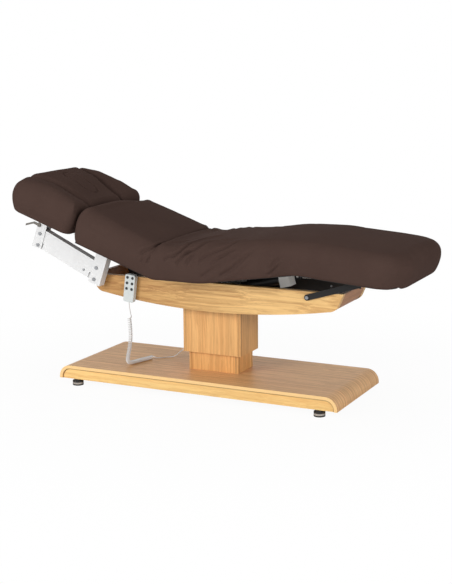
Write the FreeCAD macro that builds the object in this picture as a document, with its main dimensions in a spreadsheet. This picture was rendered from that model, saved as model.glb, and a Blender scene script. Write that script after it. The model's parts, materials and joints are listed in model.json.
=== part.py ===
"""Spa bed: wooden base, lifting column, wooden tray and a hinged, upholstered bed.

Frame: X runs from the head (-) to the foot (+), Y across, Z up, origin on the floor under the
middle of the bed. Lengths are millimetres, angles degrees. The bed is modelled as photographed:
back raised, knees bent a little, column down.
"""
import FreeCAD, Part
import math
import os
import Sketcher
from FreeCAD import Placement, Rotation, Vector

doc = FreeCAD.newDocument("spa_bed")
sheet = doc.addObject("Spreadsheet::Sheet", "Sizes")

# Driving dimensions
SIZES = {
    # base
    "base_center_x": -36,
    "base_length": 1430,
    "base_width": 544,
    "base_height": 65,
    "base_panel": 15,
    "base_end_radius": 58,
    "side_board": 30,
    "side_inset": 6,
    "side_gap": 0.4,
    "foot_height": 30,
    "foot_diameter": 52,
    "foot_pad_height": 22,
    "foot_inset_x": 90,
    "stud_diameter": 12,
    "collar_diameter": 34,
    "stud_depth": 25,
    # column
    "column_offset_x": 20,
    "inner_cover_x": 256,
    "inner_cover_y": 158,
    "inner_cover_height": 335,
    "outer_cover_x": 298,
    "outer_cover_y": 193,
    "outer_cover_height": 258,
    "cover_board": 14,
    "cover_lift": 87,
    "lift_tube_x": 110,
    "lift_tube_y": 90,
    "lift_tube_height": 330,
    "tube_wall": 4,
    "tube_slide_gap": 1,
    "moving_tube_height": 322,
    "flange_x": 190,
    "flange_y": 122,
    "flange_thickness": 8,
    "flange_bolt_x": 150,
    "flange_bolt_y": 104,
    "bolt_head_diameter": 14,
    "bolt_head_height": 7,
    "lift_motor_diameter": 56,
    "lift_motor_height": 68,
    "lift_spindle_diameter": 16,
    "lift_spindle_height": 240,
    # tray
    "tray_gap": 256,
    "rail_thickness": 30,
    "rail_top_z": 532,
    "rail_head_x": -626,
    "rail_foot_x": 659,
    "rail_end_lean": 24,
    "rail_end_depth": 56,
    "rail_corner_x": 44,
    "rail_corner_z": 29,
    "rail_corner_radius": 50,
    "rail_bow_radius": 3400,
    "end_board": 22,
    "end_board_drop": 20,
    "end_board_tuck": 18,
    "plate_thickness": 8,
    "plate_head_x": -301,
    "plate_foot_x": 279,
    "control_box_x": 150,
    "control_box_y": 90,
    "control_box_height": 50,
    "control_box_margin": 10,
    # boards, hinges and pads
    "bed_z": 556,
    "board_thickness": 18,
    "board_width": 600,
    "hip_x": -218,
    "seat_length": 242,
    "thigh_length": 470,
    "leg_length": 486,
    "back_length": 446,
    "head_gap": 24,
    "head_length": 350,
    "head_rise": 22,
    "back_angle": 19.3,
    "thigh_angle": 8.5,
    "leg_drop": 4.5,
    "hinge_clear": 20,
    "shaft_diameter": 16,
    "knee_shaft_diameter": 14,
    "bore_gap": 0.3,
    "sleeve_wall": 5,
    "sleeve_length": 230,
    "ear_thickness": 8,
    "ear_width": 44,
    "ear_ring": 32,
    "knee_ring": 28,
    "board_setback": 15,
    "leg_board_setback": 50,
    "ear_drop": 60,
    "frame_bar": 6,
    "frame_bar_width": 30,
    "frame_bar_y": 95,
    "back_bar_length": 400,
    "leg_bar_length": 320,
    "leg_bar_y": 72,
    "pad_width": 650,
    "pad_base_width": 604,
    "pad_top_width": 620,
    "pad_height": 122,
    "pad_crown": 14,
    "foot_pad_drop": 15,
    "pad_gap": 0.5,
    "hip_fold_back": 31,
    "hip_fold_seat": 37,
    "thigh_fold_seat": 9,
    "thigh_fold_thigh": 18,
    "knee_fold": 2,
    "fold_root": 8,
    "foot_corner_radius": 140,
    "head_corner_radius": 70,
    "head_seam_corner_radius": 40,
    "head_groove": 8,
    "groove_top_y": 217,
    "groove_seam_y": 146,
    "groove_slope": 6,
    # headrest arms
    "arm_outer_y": 207,
    "arm_depth": 45,
    "arm_sheet": 3,
    "arm_pivot_along": 336,
    "arm_pivot_drop": 104,
    "arm_pivot_spacing": 57,
    "arm_pivot_shift": 5,
    "arm_reach": 343,
    "arm_rise": 34,
    "arm_bracket_width": 63,
    "arm_bracket_tail": 41,
    "arm_bracket_below": 22,
    "head_bracket_width": 52,
    "head_bracket_tail": 26,
    "head_bracket_below": 16,
    "link_width": 26,
    "link_thickness": 8,
    "upper_link_inset": 21,
    "lower_link_inset": 9,
    "arm_cover_sheet": 2,
    "arm_cover_gap": 1,
    "arm_cover_start": 14,
    "arm_cover_end": 16,
    "arm_cover_above": 27,
    "arm_cover_below": 66,
    "arm_cover_notch": 38,
    "arm_cover_notch_back": 14,
    "arm_cover_notch_head": 20,
    "arm_bolt_diameter": 10,
    "arm_bolt_head": 17,
    "arm_bolt_head_height": 4,
    "lever_thickness": 6,
    "lever_width": 11,
    "lever_hub_diameter": 20,
    "lever_pin_diameter": 8,
    "lever_along": 30,
    "lever_bend": 40,
    "lever_drop": 26,
    "lever_pivot_below": 52,
    # leg link
    "link_pivot_x": 491,
    "link_pivot_z": 506,
    "leg_link_along": 240,
    "leg_link_drop": 28,
    "leg_link_width": 27,
    "leg_link_thickness": 6,
    "leg_link_gap": 2.5,
    "leg_link_bolt": 10,
    "leg_link_head": 16,
    "leg_link_head_height": 5,
    "leg_link_play": 3,
    "leg_ear_width": 40,
    "leg_ear_thickness": 6,
    # back actuator
    "crank_radius": 64.5,
    "crank_lead_angle": 32.5,
    "crank_ear_width": 30,
    "crank_slot_width": 13.5,
    "crank_slot_in": 7,
    "crank_slot_out": 18.5,
    "actuator_y": 60,
    "actuator_eye": 8,
    "clevis_gap": 12,
    "clevis_plate": 8,
    "actuator_pin": 10,
    "leg_eye_diameter": 20,
    "rod_diameter": 18,
    "rod_slide_gap": 0.5,
    "barrel_diameter": 44,
    "eye_diameter": 26,
    "back_rod_length": 185,
    "back_rod_shift": 16.3,
    "back_barrel_start": 90,
    "back_barrel_length": 190,
    "motor_length": 52,
    "motor_width": 60,
    "back_motor_height": 51,
    "leg_motor_height": 58,
    "mount_width": 30,
    # leg actuator
    "leg_actuator_drop": 76,
    "leg_clevis_along": 380,
    "leg_clevis_drop": 34,
    "leg_clevis_play": 2.5,
    "leg_rod_length": 220,
    "leg_barrel_start": 105,
    "leg_barrel_tail": 34,
    # handset and its cord
    "handset_x": -405,
    "handset_z": 479,
    "handset_tilt": 7,
    "handset_width": 53,
    "handset_height": 132,
    "handset_depth": 24,
    "handset_corner": 9,
    "handset_gap": 3,
    "hook_width": 24,
    "hook_thickness": 4,
    "hook_drop": 14,
    "hook_gap": 0.5,
    "button_diameter": 13.5,
    "button_height": 4.5,
    "button_sink": 3.5,
    "button_travel": 2,
    "button_gap": 0.4,
    "button_spacing_x": 27,
    "button_spacing_z": 27,
    "button_top": 14,
    "cord_diameter": 4.6,
    "curl_diameter": 19,
    "curl_pitch": 6.6,
    "gland_diameter": 14,
    "gland_length": 14,
    "gland_z": 165,
    "gland_y": 40,
    "gland_gap": 0.2,
}

for row, (alias, value) in enumerate(SIZES.items(), start=1):
    sheet.set(f"A{row}", alias.replace("_", " "))
    sheet.set(f"B{row}", str(value))
    sheet.setAlias(f"B{row}", alias)
doc.recompute()


class Dim:
    """A size that knows its number and the formula over the sheet that gives it."""

    def __init__(self, value, text):
        self.value = float(value)
        self.text = text

    def __add__(self, other):
        other = dim(other)
        return Dim(self.value + other.value, f"({self.text} + {other.text})")

    def __sub__(self, other):
        other = dim(other)
        return Dim(self.value - other.value, f"({self.text} - {other.text})")

    def __mul__(self, other):
        other = dim(other)
        return Dim(self.value * other.value, f"({self.text} * {other.text})")

    def __truediv__(self, other):
        other = dim(other)
        return Dim(self.value / other.value, f"({self.text} / {other.text})")

    def __neg__(self):
        return Dim(-self.value, f"(0 - {self.text})")

    def __radd__(self, other):
        return dim(other) + self

    def __rsub__(self, other):
        return dim(other) - self

    def __rmul__(self, other):
        return dim(other) * self


def dim(number):
    return number if isinstance(number, Dim) else Dim(number, repr(float(number)))


def sin(angle):
    return Dim(math.sin(math.radians(angle.value)), f"sin({angle.text} * 1 deg)")


def cos(angle):
    return Dim(math.cos(math.radians(angle.value)), f"cos({angle.text} * 1 deg)")


def tan(angle):
    return Dim(math.tan(math.radians(angle.value)), f"tan({angle.text} * 1 deg)")


def hypot(along, across):
    return Dim(math.hypot(along.value, across.value), f"sqrt({along.text} ^ 2 + {across.text} ^ 2)")


def heading(along, rise):
    """The angle in degrees of a line that rises so far over so much length."""
    value = math.degrees(math.atan2(rise.value, along.value))
    return Dim(value, f"(atan2({rise.text}; {along.text}) / 1 deg)")


class SheetSizes:
    """Every driving dimension as an attribute."""


S = SheetSizes()
for alias in SIZES:
    setattr(S, alias, Dim(sheet.get(alias), f"Sizes.{alias}"))


# Drawing helpers
def bind(thing, prop, size):
    thing.setExpression(prop, dim(size).text)


def circle(u, v, diameter):
    return ("circle", dim(u), dim(v), dim(diameter) / 2)


def rectangle(u_low, v_low, u_high, v_high):
    return [(u_low, v_low), (u_high, v_low), (u_high, v_high), (u_low, v_high)]


def arc_center(start, end, radius):
    """Centre of the arc that turns left from start to end."""
    half = (end - start) * 0.5
    reach = math.sqrt(max(radius * radius - half.Length ** 2, 0.0))
    normal = Vector(-half.y, half.x, 0).normalize()
    return start + half + normal * reach


def draw(sketch, outline):
    """Draw a closed outline whose corners and radii are bound to the sheet.

    A corner is (u, v); a corner reached by a left-turning arc is (u, v, radius).
    """
    def lock(kind, geometry, place, size):
        index = sketch.addConstraint(Sketcher.Constraint(kind, geometry, place, size.value))
        sketch.setExpression(f"Constraints[{index}]", size.text)

    if outline[0] == "circle":
        _, u, v, radius = outline
        ring = Part.Circle(Vector(u.value, v.value, 0), Vector(0, 0, 1), radius.value)
        geometry = sketch.addGeometry(ring)
        lock("DistanceX", geometry, 3, u)
        lock("DistanceY", geometry, 3, v)
        index = sketch.addConstraint(Sketcher.Constraint("Radius", geometry, radius.value))
        sketch.setExpression(f"Constraints[{index}]", radius.text)
        return
    corners = [tuple(dim(number) for number in corner) for corner in outline]
    edges = []
    for index, corner in enumerate(corners):
        target = corners[(index + 1) % len(corners)]
        start = Vector(corner[0].value, corner[1].value, 0)
        end = Vector(target[0].value, target[1].value, 0)
        if len(target) == 3:
            center = arc_center(start, end, target[2].value)
            ring = Part.Circle(center, Vector(0, 0, 1), target[2].value)
            first = math.atan2(start.y - center.y, start.x - center.x)
            last = math.atan2(end.y - center.y, end.x - center.x)
            edges.append(sketch.addGeometry(Part.ArcOfCircle(ring, first, last)))
        else:
            edges.append(sketch.addGeometry(Part.LineSegment(start, end)))
    for index, edge in enumerate(edges):
        following = edges[(index + 1) % len(edges)]
        sketch.addConstraint(Sketcher.Constraint("Coincident", edge, 2, following, 1))
    for index, edge in enumerate(edges):
        lock("DistanceX", edge, 1, corners[index][0])
        lock("DistanceY", edge, 1, corners[index][1])
        target = corners[(index + 1) % len(corners)]
        if len(target) == 3:
            radius = sketch.addConstraint(Sketcher.Constraint("Radius", edge, target[2].value))
            sketch.setExpression(f"Constraints[{radius}]", target[2].text)


# A frame is a point of the XZ plane and a turn about Y; a raised head side has a positive turn.
LEVEL = None
KNEE_X = S.hip_x + S.seat_length + S.thigh_length * cos(S.thigh_angle)
KNEE_Z = S.bed_z + S.thigh_length * sin(S.thigh_angle)
THIGH_X = S.hip_x + S.seat_length
BACK = (S.hip_x, S.bed_z, S.back_angle)
THIGH = (THIGH_X, S.bed_z, -S.thigh_angle)
LEG = (KNEE_X, KNEE_Z, S.leg_drop)


def in_frame(frame, x, z):
    """Where a point of a tilted frame lies in the bed's own frame."""
    base_x, base_z, turn = frame
    x = dim(x)
    z = dim(z)
    return base_x + x * cos(turn) + z * sin(turn), base_z - x * sin(turn) + z * cos(turn)


def seat(thing, frame):
    """Put an object that was drawn in a tilted frame where the frame is."""
    if frame is LEVEL:
        return thing
    base_x, base_z, turn = frame
    start = Vector(base_x.value, 0, base_z.value)
    thing.Placement = Placement(start, Rotation(Vector(0, 1, 0), turn.value or 1e-9))
    bind(thing, "Placement.Base.x", base_x)
    bind(thing, "Placement.Base.z", base_z)
    bind(thing, "Placement.Rotation.Angle", turn)
    return thing


def prism(label, plane, outline, low, high, frame=LEVEL):
    """A padded outline: across Y for XZ, up Z for XY, along X for YZ."""
    low = dim(low)
    high = dim(high)
    body = doc.addObject("PartDesign::Body", label)
    sketch = body.newObject("Sketcher::SketchObject", label + "_outline")
    origin_plane = next(one for one in body.Origin.OriginFeatures if one.Role == plane + "_Plane")
    sketch.AttachmentSupport = [(origin_plane, "")]
    sketch.MapMode = "FlatFace"
    draw(sketch, outline)
    bind(sketch, "AttachmentOffset.Base.z", -high if plane == "XZ" else low)
    pad = body.newObject("PartDesign::Pad", label + "_pad")
    pad.Profile = sketch
    bind(pad, "Length", high - low)
    body.Label = label
    return seat(body, frame)


def block(label, x_low, x_high, y_low, y_high, z_low, z_high, frame=LEVEL):
    return prism(label, "XZ", rectangle(x_low, z_low, x_high, z_high), y_low, y_high, frame)


def pin_across(label, x, z, diameter, y_low, y_high, frame=LEVEL):
    return prism(label, "XZ", circle(x, z, diameter), y_low, y_high, frame)


def bore_across(label, x, z, diameter, y_low, y_high, frame=LEVEL):
    """The cutting tool for a hole through a piece that spans these Y values."""
    return pin_across(label, x, z, diameter, y_low - OVERSHOOT, y_high + OVERSHOOT, frame)


def pair(label, make):
    """The same piece at the near side (-Y) and the far side (+Y), in one group."""
    near = make(label + "_near", lambda y_low, y_high: (-dim(y_high), -dim(y_low)))
    far = make(label + "_far", lambda y_low, y_high: (y_low, y_high))
    return group(label, [near, far])


def group(label, pieces):
    compound = doc.addObject("Part::Compound", label)
    compound.Links = pieces
    compound.Label = label
    return compound


def join(label, pieces):
    fusion = doc.addObject("Part::MultiFuse", label)
    fusion.Shapes = pieces
    fusion.Refine = True
    fusion.Label = label
    return fusion


def cut(label, piece, tools):
    result = doc.addObject("Part::Cut", label)
    result.Base = piece
    result.Tool = tools[0] if len(tools) == 1 else join(label + "_tools", tools)
    result.Label = label
    return result


NODES = []
# Cutting tools run this far past the faces they cut
OVERSHOOT = 1.0


def node(thing):
    """Mark an object as one of the bed's pieces."""
    NODES.append(thing)
    return thing


# Levels and places that several pieces share
BASE_TOP = S.foot_height + S.base_height
COLUMN_X = S.base_center_x + S.column_offset_x
COVER_BOTTOM = BASE_TOP + S.cover_lift
PLATE_Z = COVER_BOTTOM + S.outer_cover_height
PLATE_TOP = PLATE_Z + S.plate_thickness
RAIL_IN = S.tray_gap / 2
RAIL_OUT = RAIL_IN + S.rail_thickness
BOARD_HALF = S.board_width / 2
SLEEVE_HALF = S.sleeve_length / 2


# Base
def base_profile(inset):
    """Half-round ended outline of the base, seen from the front, drawn in by an inset."""
    half = S.base_length / 2 - inset
    radius = S.base_end_radius - inset
    left = S.base_center_x - half
    right = S.base_center_x + half
    top = BASE_TOP - inset
    return left, right, top, radius


def make_base():
    left, right, top, radius = base_profile(dim(0))
    in_left, in_right, in_top, in_radius = base_profile(S.base_panel)
    low = S.foot_height
    half = S.base_width / 2
    blank = prism("base_blank", "XZ", [
        (left, low), (right, low), (right, top - radius), (right - radius, top, radius),
        (left + radius, top), (left, top - radius, radius),
    ], -half, half)
    hollow = prism("base_hollow", "XZ", [
        (in_left, low - S.base_panel), (in_right, low - S.base_panel), (in_right, in_top - in_radius),
        (in_right - in_radius, in_top, in_radius), (in_left + in_radius, in_top),
        (in_left, in_top - in_radius, in_radius),
    ], -half - S.side_board, half + S.side_board)
    node(cut("base_top_panel", blank, [hollow]))

    b_left, b_right, b_top, b_radius = base_profile(S.base_panel + S.side_gap)
    outside = half - S.side_inset
    inside = outside - S.side_board
    stud_y = outside - S.side_board / 2
    outline = [
        (b_left, low), (b_right, low), (b_right, b_top - b_radius), (b_right - b_radius, b_top, b_radius),
        (b_left + b_radius, b_top), (b_left, b_top - b_radius, b_radius),
    ]
    reach = S.base_length / 2 - S.foot_inset_x
    places = [(S.base_center_x + side * reach, end * stud_y) for side in (-1, 1) for end in (-1, 1)]
    boards = pair("base_boards_plain", lambda name, span: prism(name, "XZ", outline, *span(inside, outside)))
    holes = [
        prism(f"stud_hole_{index}", "XY", circle(x, y, S.stud_diameter + S.bore_gap),
              low - OVERSHOOT, low + S.stud_depth + OVERSHOOT)
        for index, (x, y) in enumerate(places)
    ]
    node(cut("base_side_boards", boards, holes))
    feet = []
    for index, (x, y) in enumerate(places):
        pad = prism(f"foot_pad_{index}", "XY", circle(x, y, S.foot_diameter), 0, S.foot_pad_height)
        stud = prism(f"foot_stud_{index}", "XY", circle(x, y, S.stud_diameter), 0, low + S.stud_depth)
        collar = prism(f"foot_collar_{index}", "XY", circle(x, y, S.collar_diameter), S.foot_pad_height, low)
        feet.append(join(f"levelling_foot_{index}", [pad, stud, collar]))
    node(group("levelling_feet", feet))


# Column
def box_tube(label, x_size, y_size, wall, z_low, z_high):
    half_x = x_size / 2
    half_y = y_size / 2
    solid = prism(label + "_solid", "XY", rectangle(COLUMN_X - half_x, -half_y, COLUMN_X + half_x, half_y),
                  z_low, z_high)
    hollow = prism(label + "_hollow", "XY", rectangle(
        COLUMN_X - half_x + wall, wall - half_y, COLUMN_X + half_x - wall, half_y - wall),
        z_low - OVERSHOOT, z_high + OVERSHOOT)
    return solid, hollow


def make_column():
    solid, hollow = box_tube("inner_cover", S.inner_cover_x, S.inner_cover_y, S.cover_board,
                             BASE_TOP, BASE_TOP + S.inner_cover_height)
    face_x = COLUMN_X - S.inner_cover_x / 2
    gland_hole = prism("gland_hole", "YZ", circle(S.gland_y, S.gland_z, S.gland_diameter + S.gland_gap * 2),
                       face_x - OVERSHOOT, face_x + S.cover_board + OVERSHOOT)
    node(cut("inner_column_cover", solid, [hollow, gland_hole]))
    outer, outer_hollow = box_tube("outer_cover", S.outer_cover_x, S.outer_cover_y, S.cover_board,
                                   COVER_BOTTOM, PLATE_Z)
    node(cut("outer_column_cover", outer, [outer_hollow]))

    flange_top = BASE_TOP + S.flange_thickness
    fixed, fixed_hollow = box_tube("fixed_tube", S.lift_tube_x, S.lift_tube_y, S.tube_wall,
                                   BASE_TOP, BASE_TOP + S.lift_tube_height)
    flange = prism("lift_flange", "XY", rectangle(
        COLUMN_X - S.flange_x / 2, -S.flange_y / 2, COLUMN_X + S.flange_x / 2, S.flange_y / 2),
        BASE_TOP, flange_top)
    node(cut("lift_fixed_tube", join("fixed_tube_blank", [fixed, flange]), [fixed_hollow]))
    bolts = []
    for index, (side, end) in enumerate(((-1, -1), (-1, 1), (1, -1), (1, 1))):
        bolts.append(prism(f"flange_bolt_{index}", "XY", circle(
            COLUMN_X + side * S.flange_bolt_x / 2, end * S.flange_bolt_y / 2, S.bolt_head_diameter),
            flange_top, flange_top + S.bolt_head_height))
    node(group("flange_bolts", bolts))
    shrink = 2 * (S.tube_wall + S.tube_slide_gap)
    moving, moving_hollow = box_tube("moving_tube", S.lift_tube_x - shrink, S.lift_tube_y - shrink,
                                     S.tube_wall, PLATE_Z - S.moving_tube_height, PLATE_Z)
    node(cut("lift_moving_tube", moving, [moving_hollow]))
    motor_top = BASE_TOP + S.lift_motor_height
    motor = prism("lift_motor_can", "XY", circle(COLUMN_X, 0, S.lift_motor_diameter), BASE_TOP, motor_top)
    spindle = prism("lift_spindle", "XY", circle(COLUMN_X, 0, S.lift_spindle_diameter),
                    motor_top, motor_top + S.lift_spindle_height)
    node(join("lift_motor", [motor, spindle]))
    nut = prism("cord_gland_blank", "YZ", circle(S.gland_y, S.gland_z, S.gland_diameter),
                face_x - S.gland_length, face_x + S.cover_board)
    bore = prism("cord_gland_bore", "YZ", circle(S.gland_y, S.gland_z, S.cord_diameter + S.gland_gap * 2),
                 face_x, face_x + S.cover_board + OVERSHOOT)
    node(cut("cord_gland", nut, [bore]))


# Tray
def make_tray():
    head_low_x = S.rail_head_x + S.rail_end_lean
    foot_low_x = S.rail_foot_x - S.rail_end_lean
    low_z = S.rail_top_z - S.rail_end_depth
    bow_z = low_z - S.rail_corner_z
    outline = [
        (S.rail_head_x, S.rail_top_z),
        (head_low_x, low_z),
        (head_low_x + S.rail_corner_x, bow_z, S.rail_corner_radius),
        (foot_low_x - S.rail_corner_x, bow_z, S.rail_bow_radius),
        (foot_low_x, low_z, S.rail_corner_radius),
        (S.rail_foot_x, S.rail_top_z),
    ]
    hole = S.leg_link_bolt + S.bore_gap

    def rail(name, span):
        board = prism(name + "_board", "XZ", outline, *span(RAIL_IN, RAIL_OUT))
        bore = bore_across(name + "_bore", S.link_pivot_x, S.link_pivot_z, hole, *span(RAIL_IN, RAIL_OUT))
        return cut(name, board, [bore])

    node(pair("tray_rails", rail))
    ends = []
    toe_z = low_z - S.end_board_drop
    for label, top_x, bottom_x, inward, tuck in (
            ("head_end_board", S.rail_head_x, head_low_x, S.end_board, S.end_board_tuck),
            ("foot_end_board", S.rail_foot_x, foot_low_x, -S.end_board, -S.end_board_tuck)):
        toe_x = bottom_x + tuck
        slant = [(top_x, S.rail_top_z), (bottom_x, low_z), (toe_x, toe_z), (toe_x + inward, toe_z),
                 (bottom_x + inward, low_z), (top_x + inward, S.rail_top_z)]
        ends.append(prism(label, "XZ", slant, -RAIL_IN, RAIL_IN))
    node(group("tray_end_boards", ends))
    node(block("mounting_plate", S.plate_head_x, S.plate_foot_x, -RAIL_IN, RAIL_IN, PLATE_Z, PLATE_TOP))
    box_x = S.plate_head_x + S.control_box_margin
    box_y = S.control_box_margin - RAIL_IN
    node(block("control_box", box_x, box_x + S.control_box_x, box_y, box_y + S.control_box_y,
               PLATE_TOP, PLATE_TOP + S.control_box_height))
    seat_start = S.hip_x + S.hinge_clear
    seat_end = THIGH_X - S.hinge_clear
    panel = block("seat_panel", seat_start, seat_end, -BOARD_HALF, BOARD_HALF,
                  S.bed_z, S.bed_z + S.board_thickness)
    spacers = pair("seat_spacers", lambda name, span: block(
        name, seat_start, seat_end, *span(RAIL_IN, RAIL_OUT), S.rail_top_z, S.bed_z))
    node(join("seat_board", [panel, spacers]))

    def ear(name, x, y_low, y_high):
        plate = block(name + "_plate", x - S.ear_width / 2, x + S.ear_width / 2, y_low, y_high,
                      S.bed_z - S.ear_drop, S.bed_z)
        ring = pin_across(name + "_ring", x, S.bed_z, S.ear_ring, y_low, y_high)
        bore = bore_across(name + "_bore", x, S.bed_z, S.shaft_diameter, y_low, y_high)
        return cut(name, join(name + "_blank", [plate, ring]), [bore])

    ears = []
    shafts = []
    for name, x in (("hip", S.hip_x), ("thigh", THIGH_X)):
        ears.append(ear(name + "_ear_near", x, -RAIL_IN, S.ear_thickness - RAIL_IN))
        ears.append(ear(name + "_ear_far", x, RAIL_IN - S.ear_thickness, RAIL_IN))
        shafts.append(pin_across(name + "_shaft", x, S.bed_z, S.shaft_diameter, -RAIL_IN, RAIL_IN))
    node(group("hinge_ears", ears))
    node(group("hinge_shafts", shafts))


# Soft pads
def section(x, rise):
    """Cross-section of the mattress: flat base, drawn-in round sides and a crowned top."""
    base = S.board_thickness.value
    top = base + S.pad_height.value - rise
    low = S.pad_base_width.value / 2
    wide = S.pad_width.value / 2
    high = S.pad_top_width.value / 2
    middle = (base + top) / 2
    corners = [Vector(x, -low, base), Vector(x, low, base), Vector(x, high, top), Vector(x, -high, top)]
    edges = [
        Part.makeLine(corners[0], corners[1]),
        Part.Arc(corners[1], Vector(x, wide, middle), corners[2]).toShape(),
        Part.Arc(corners[2], Vector(x, 0, top + S.pad_crown.value), corners[3]).toShape(),
        Part.Arc(corners[3], Vector(x, -wide, middle), corners[0]).toShape(),
    ]
    return Part.Wire(edges)


def flat_wire(points):
    return Part.makePolygon(points + [points[0]])


def side_cutter(outline):
    """A prism across the bed with this outline in X and Z."""
    reach = S.pad_width.value
    face = Part.Face(flat_wire([Vector(x, -reach, z) for x, z in outline]))
    return face.extrude(Vector(0, 2 * reach, 0))


def rounded_plan(x_low, x_high, low_radius, high_radius):
    """A prism up from the plan of a pad whose corners are round."""
    half = S.pad_width.value / 2
    edges = []

    def corner(center_x, center_y, radius, start):
        points = []
        for step in range(3):
            angle = math.radians(start + 45 * step)
            points.append(Vector(center_x + radius * math.cos(angle), center_y + radius * math.sin(angle), 0))
        return points

    arcs = [
        corner(x_high - high_radius, half - high_radius, high_radius, 0),
        corner(x_low + low_radius, half - low_radius, low_radius, 90),
        corner(x_low + low_radius, low_radius - half, low_radius, 180),
        corner(x_high - high_radius, high_radius - half, high_radius, 270),
    ]
    for index, (first, middle, last) in enumerate(arcs):
        edges.append(Part.Arc(first, middle, last).toShape())
        edges.append(Part.makeLine(last, arcs[(index + 1) % 4][0]))
    deep = S.pad_width.value
    face = Part.Face(Part.Wire(edges))
    face.translate(Vector(0, 0, -deep))
    return face.extrude(Vector(0, 0, 2 * deep))


def soft(label, shape, frame):
    """A soft piece with its shape drawn in a tilted frame."""
    piece = doc.addObject("Part::Feature", label)
    piece.Shape = shape.removeSplitter()
    piece.Label = label
    return node(seat(piece, frame))


def mattress(x_low, x_high, drop_low=0.0, drop_high=0.0):
    return Part.makeLoft([section(x_low, drop_low), section(x_high, drop_high)], True, True)


def make_pads():
    base = S.board_thickness.value
    tall = base + S.pad_height.value + S.pad_crown.value + OVERSHOOT
    gap = S.pad_gap.value
    root = S.fold_root.value

    def lean(angle, height):
        return math.tan(math.radians(angle.value)) * height

    def bounded(x_low, x_high, low_lean, high_lean):
        """Side outline between two planes that lean in by these angles."""
        return side_cutter([
            (x_low + lean(low_lean, base), base), (x_high - lean(high_lean, base), base),
            (x_high - lean(high_lean, tall), tall), (x_low + lean(low_lean, tall), tall),
        ])

    upright = Dim(0, "0")
    back = S.back_length.value
    thigh = S.thigh_length.value
    leg = S.leg_length.value
    shape = mattress(-back, 0).common(bounded(-back, -root, upright, S.hip_fold_back))
    shape = shape.common(rounded_plan(-back, back, S.head_seam_corner_radius.value, root))
    soft("back_pad", shape, BACK)
    seat_frame = (S.hip_x, S.bed_z, upright)
    length = S.seat_length.value
    shape = mattress(0, length).common(bounded(root, length - root, S.hip_fold_seat, S.thigh_fold_seat))
    soft("seat_pad", shape, seat_frame)
    shape = mattress(0, thigh).common(bounded(root, thigh - root, S.thigh_fold_thigh, S.knee_fold))
    soft("thigh_pad", shape, THIGH)
    drop = S.foot_pad_drop.value
    shape = mattress(0, leg, 0, drop).common(bounded(root, leg, S.knee_fold, upright))
    shape = shape.common(rounded_plan(-leg, leg, root, S.foot_corner_radius.value))
    soft("leg_pad", shape, LEG)

    def fold(label, frame, turn, left_lean, right_lean, left_root, right_root):
        """Fill the wedge between a pad that is turned by an angle and its level neighbour."""
        spin = math.radians(turn)

        def left_point(height):
            x = -left_root - lean(left_lean, height) + gap
            return x * math.cos(spin) + height * math.sin(spin), -x * math.sin(spin) + height * math.cos(spin)

        def right_point(height):
            return right_root + lean(right_lean, height) - gap, height

        outline = [left_point(base), right_point(base), right_point(tall), left_point(tall)]
        reach = S.pad_width.value
        blank = mattress(-reach, reach)
        soft(label, blank.common(side_cutter(outline)), frame)

    fold("hip_fold", seat_frame, S.back_angle.value, S.hip_fold_back, S.hip_fold_seat, root, root)
    fold("thigh_fold", THIGH, S.thigh_angle.value, S.thigh_fold_seat, S.thigh_fold_thigh, root, root)
    fold("knee_fold", LEG, -(S.thigh_angle.value + S.leg_drop.value), S.knee_fold, S.knee_fold, root, root)


def make_head_pads():
    """Centre pad and two wings of the headrest, parted by grooves that draw together at the seam."""
    seam = -(S.back_length.value + S.head_gap.value)
    far = seam - S.head_length.value
    blank = mattress(far, seam)
    blank = blank.common(rounded_plan(far, seam, S.head_corner_radius.value, S.head_seam_corner_radius.value))
    rise = S.head_rise.value
    low = 0.0
    high = S.board_thickness.value + S.pad_height.value + S.pad_crown.value + OVERSHOOT
    half_groove = S.head_groove.value / 2
    out = S.groove_slope.value
    wide = S.pad_width.value

    def wedge(near_seam, near_far, outer_seam, outer_far):
        """Loft whose groove walls lean back towards the top."""
        wires = []
        for height, back_off in ((low, 0.0), (high, out)):
            points = []
            for x, y, side in ((seam + OVERSHOOT, outer_seam, -1), (seam + OVERSHOOT, near_seam, 1),
                               (far - OVERSHOOT, near_far, 1), (far - OVERSHOOT, outer_far, -1)):
                points.append(Vector(x, y + side * back_off, height))
            wires.append(flat_wire(points))
        return Part.makeLoft(wires, True, True)

    seam_y = S.groove_seam_y.value
    top_y = S.groove_top_y.value
    shapes = {
        "head_wing_far": wedge(seam_y + half_groove, top_y + half_groove, wide, wide),
        "head_wing_near": wedge(seam_y + half_groove, top_y + half_groove, wide, wide).mirror(
            Vector(0, 0, 0), Vector(0, 1, 0)),
        "head_center_pad": wedge(half_groove - seam_y, half_groove - top_y,
                                 seam_y - half_groove, top_y - half_groove),
    }
    lift = Vector(0, 0, rise)
    for label, cutter in shapes.items():
        shape = blank.common(cutter)
        shape.translate(lift)
        soft(label, shape, BACK)


# Back, thigh and leg boards with their steel frames
def sleeve(label, frame, outer_half):
    outer = S.shaft_diameter + S.bore_gap * 2 + S.sleeve_wall * 2
    return pin_across(label, 0, 0, outer, -outer_half, outer_half, frame)


def sleeve_bore(label, frame, diameter, outer_half):
    return bore_across(label, 0, 0, diameter + S.bore_gap * 2, -outer_half, outer_half, frame)


def bars(label, frame, x_low, x_high, y_middle):
    half = S.frame_bar_width / 2
    near = block(label + "_near", x_low, x_high, -y_middle - half, half - y_middle, -S.frame_bar, 0, frame)
    far = block(label + "_far", x_low, x_high, y_middle - half, y_middle + half, -S.frame_bar, 0, frame)
    return [near, far]


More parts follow.
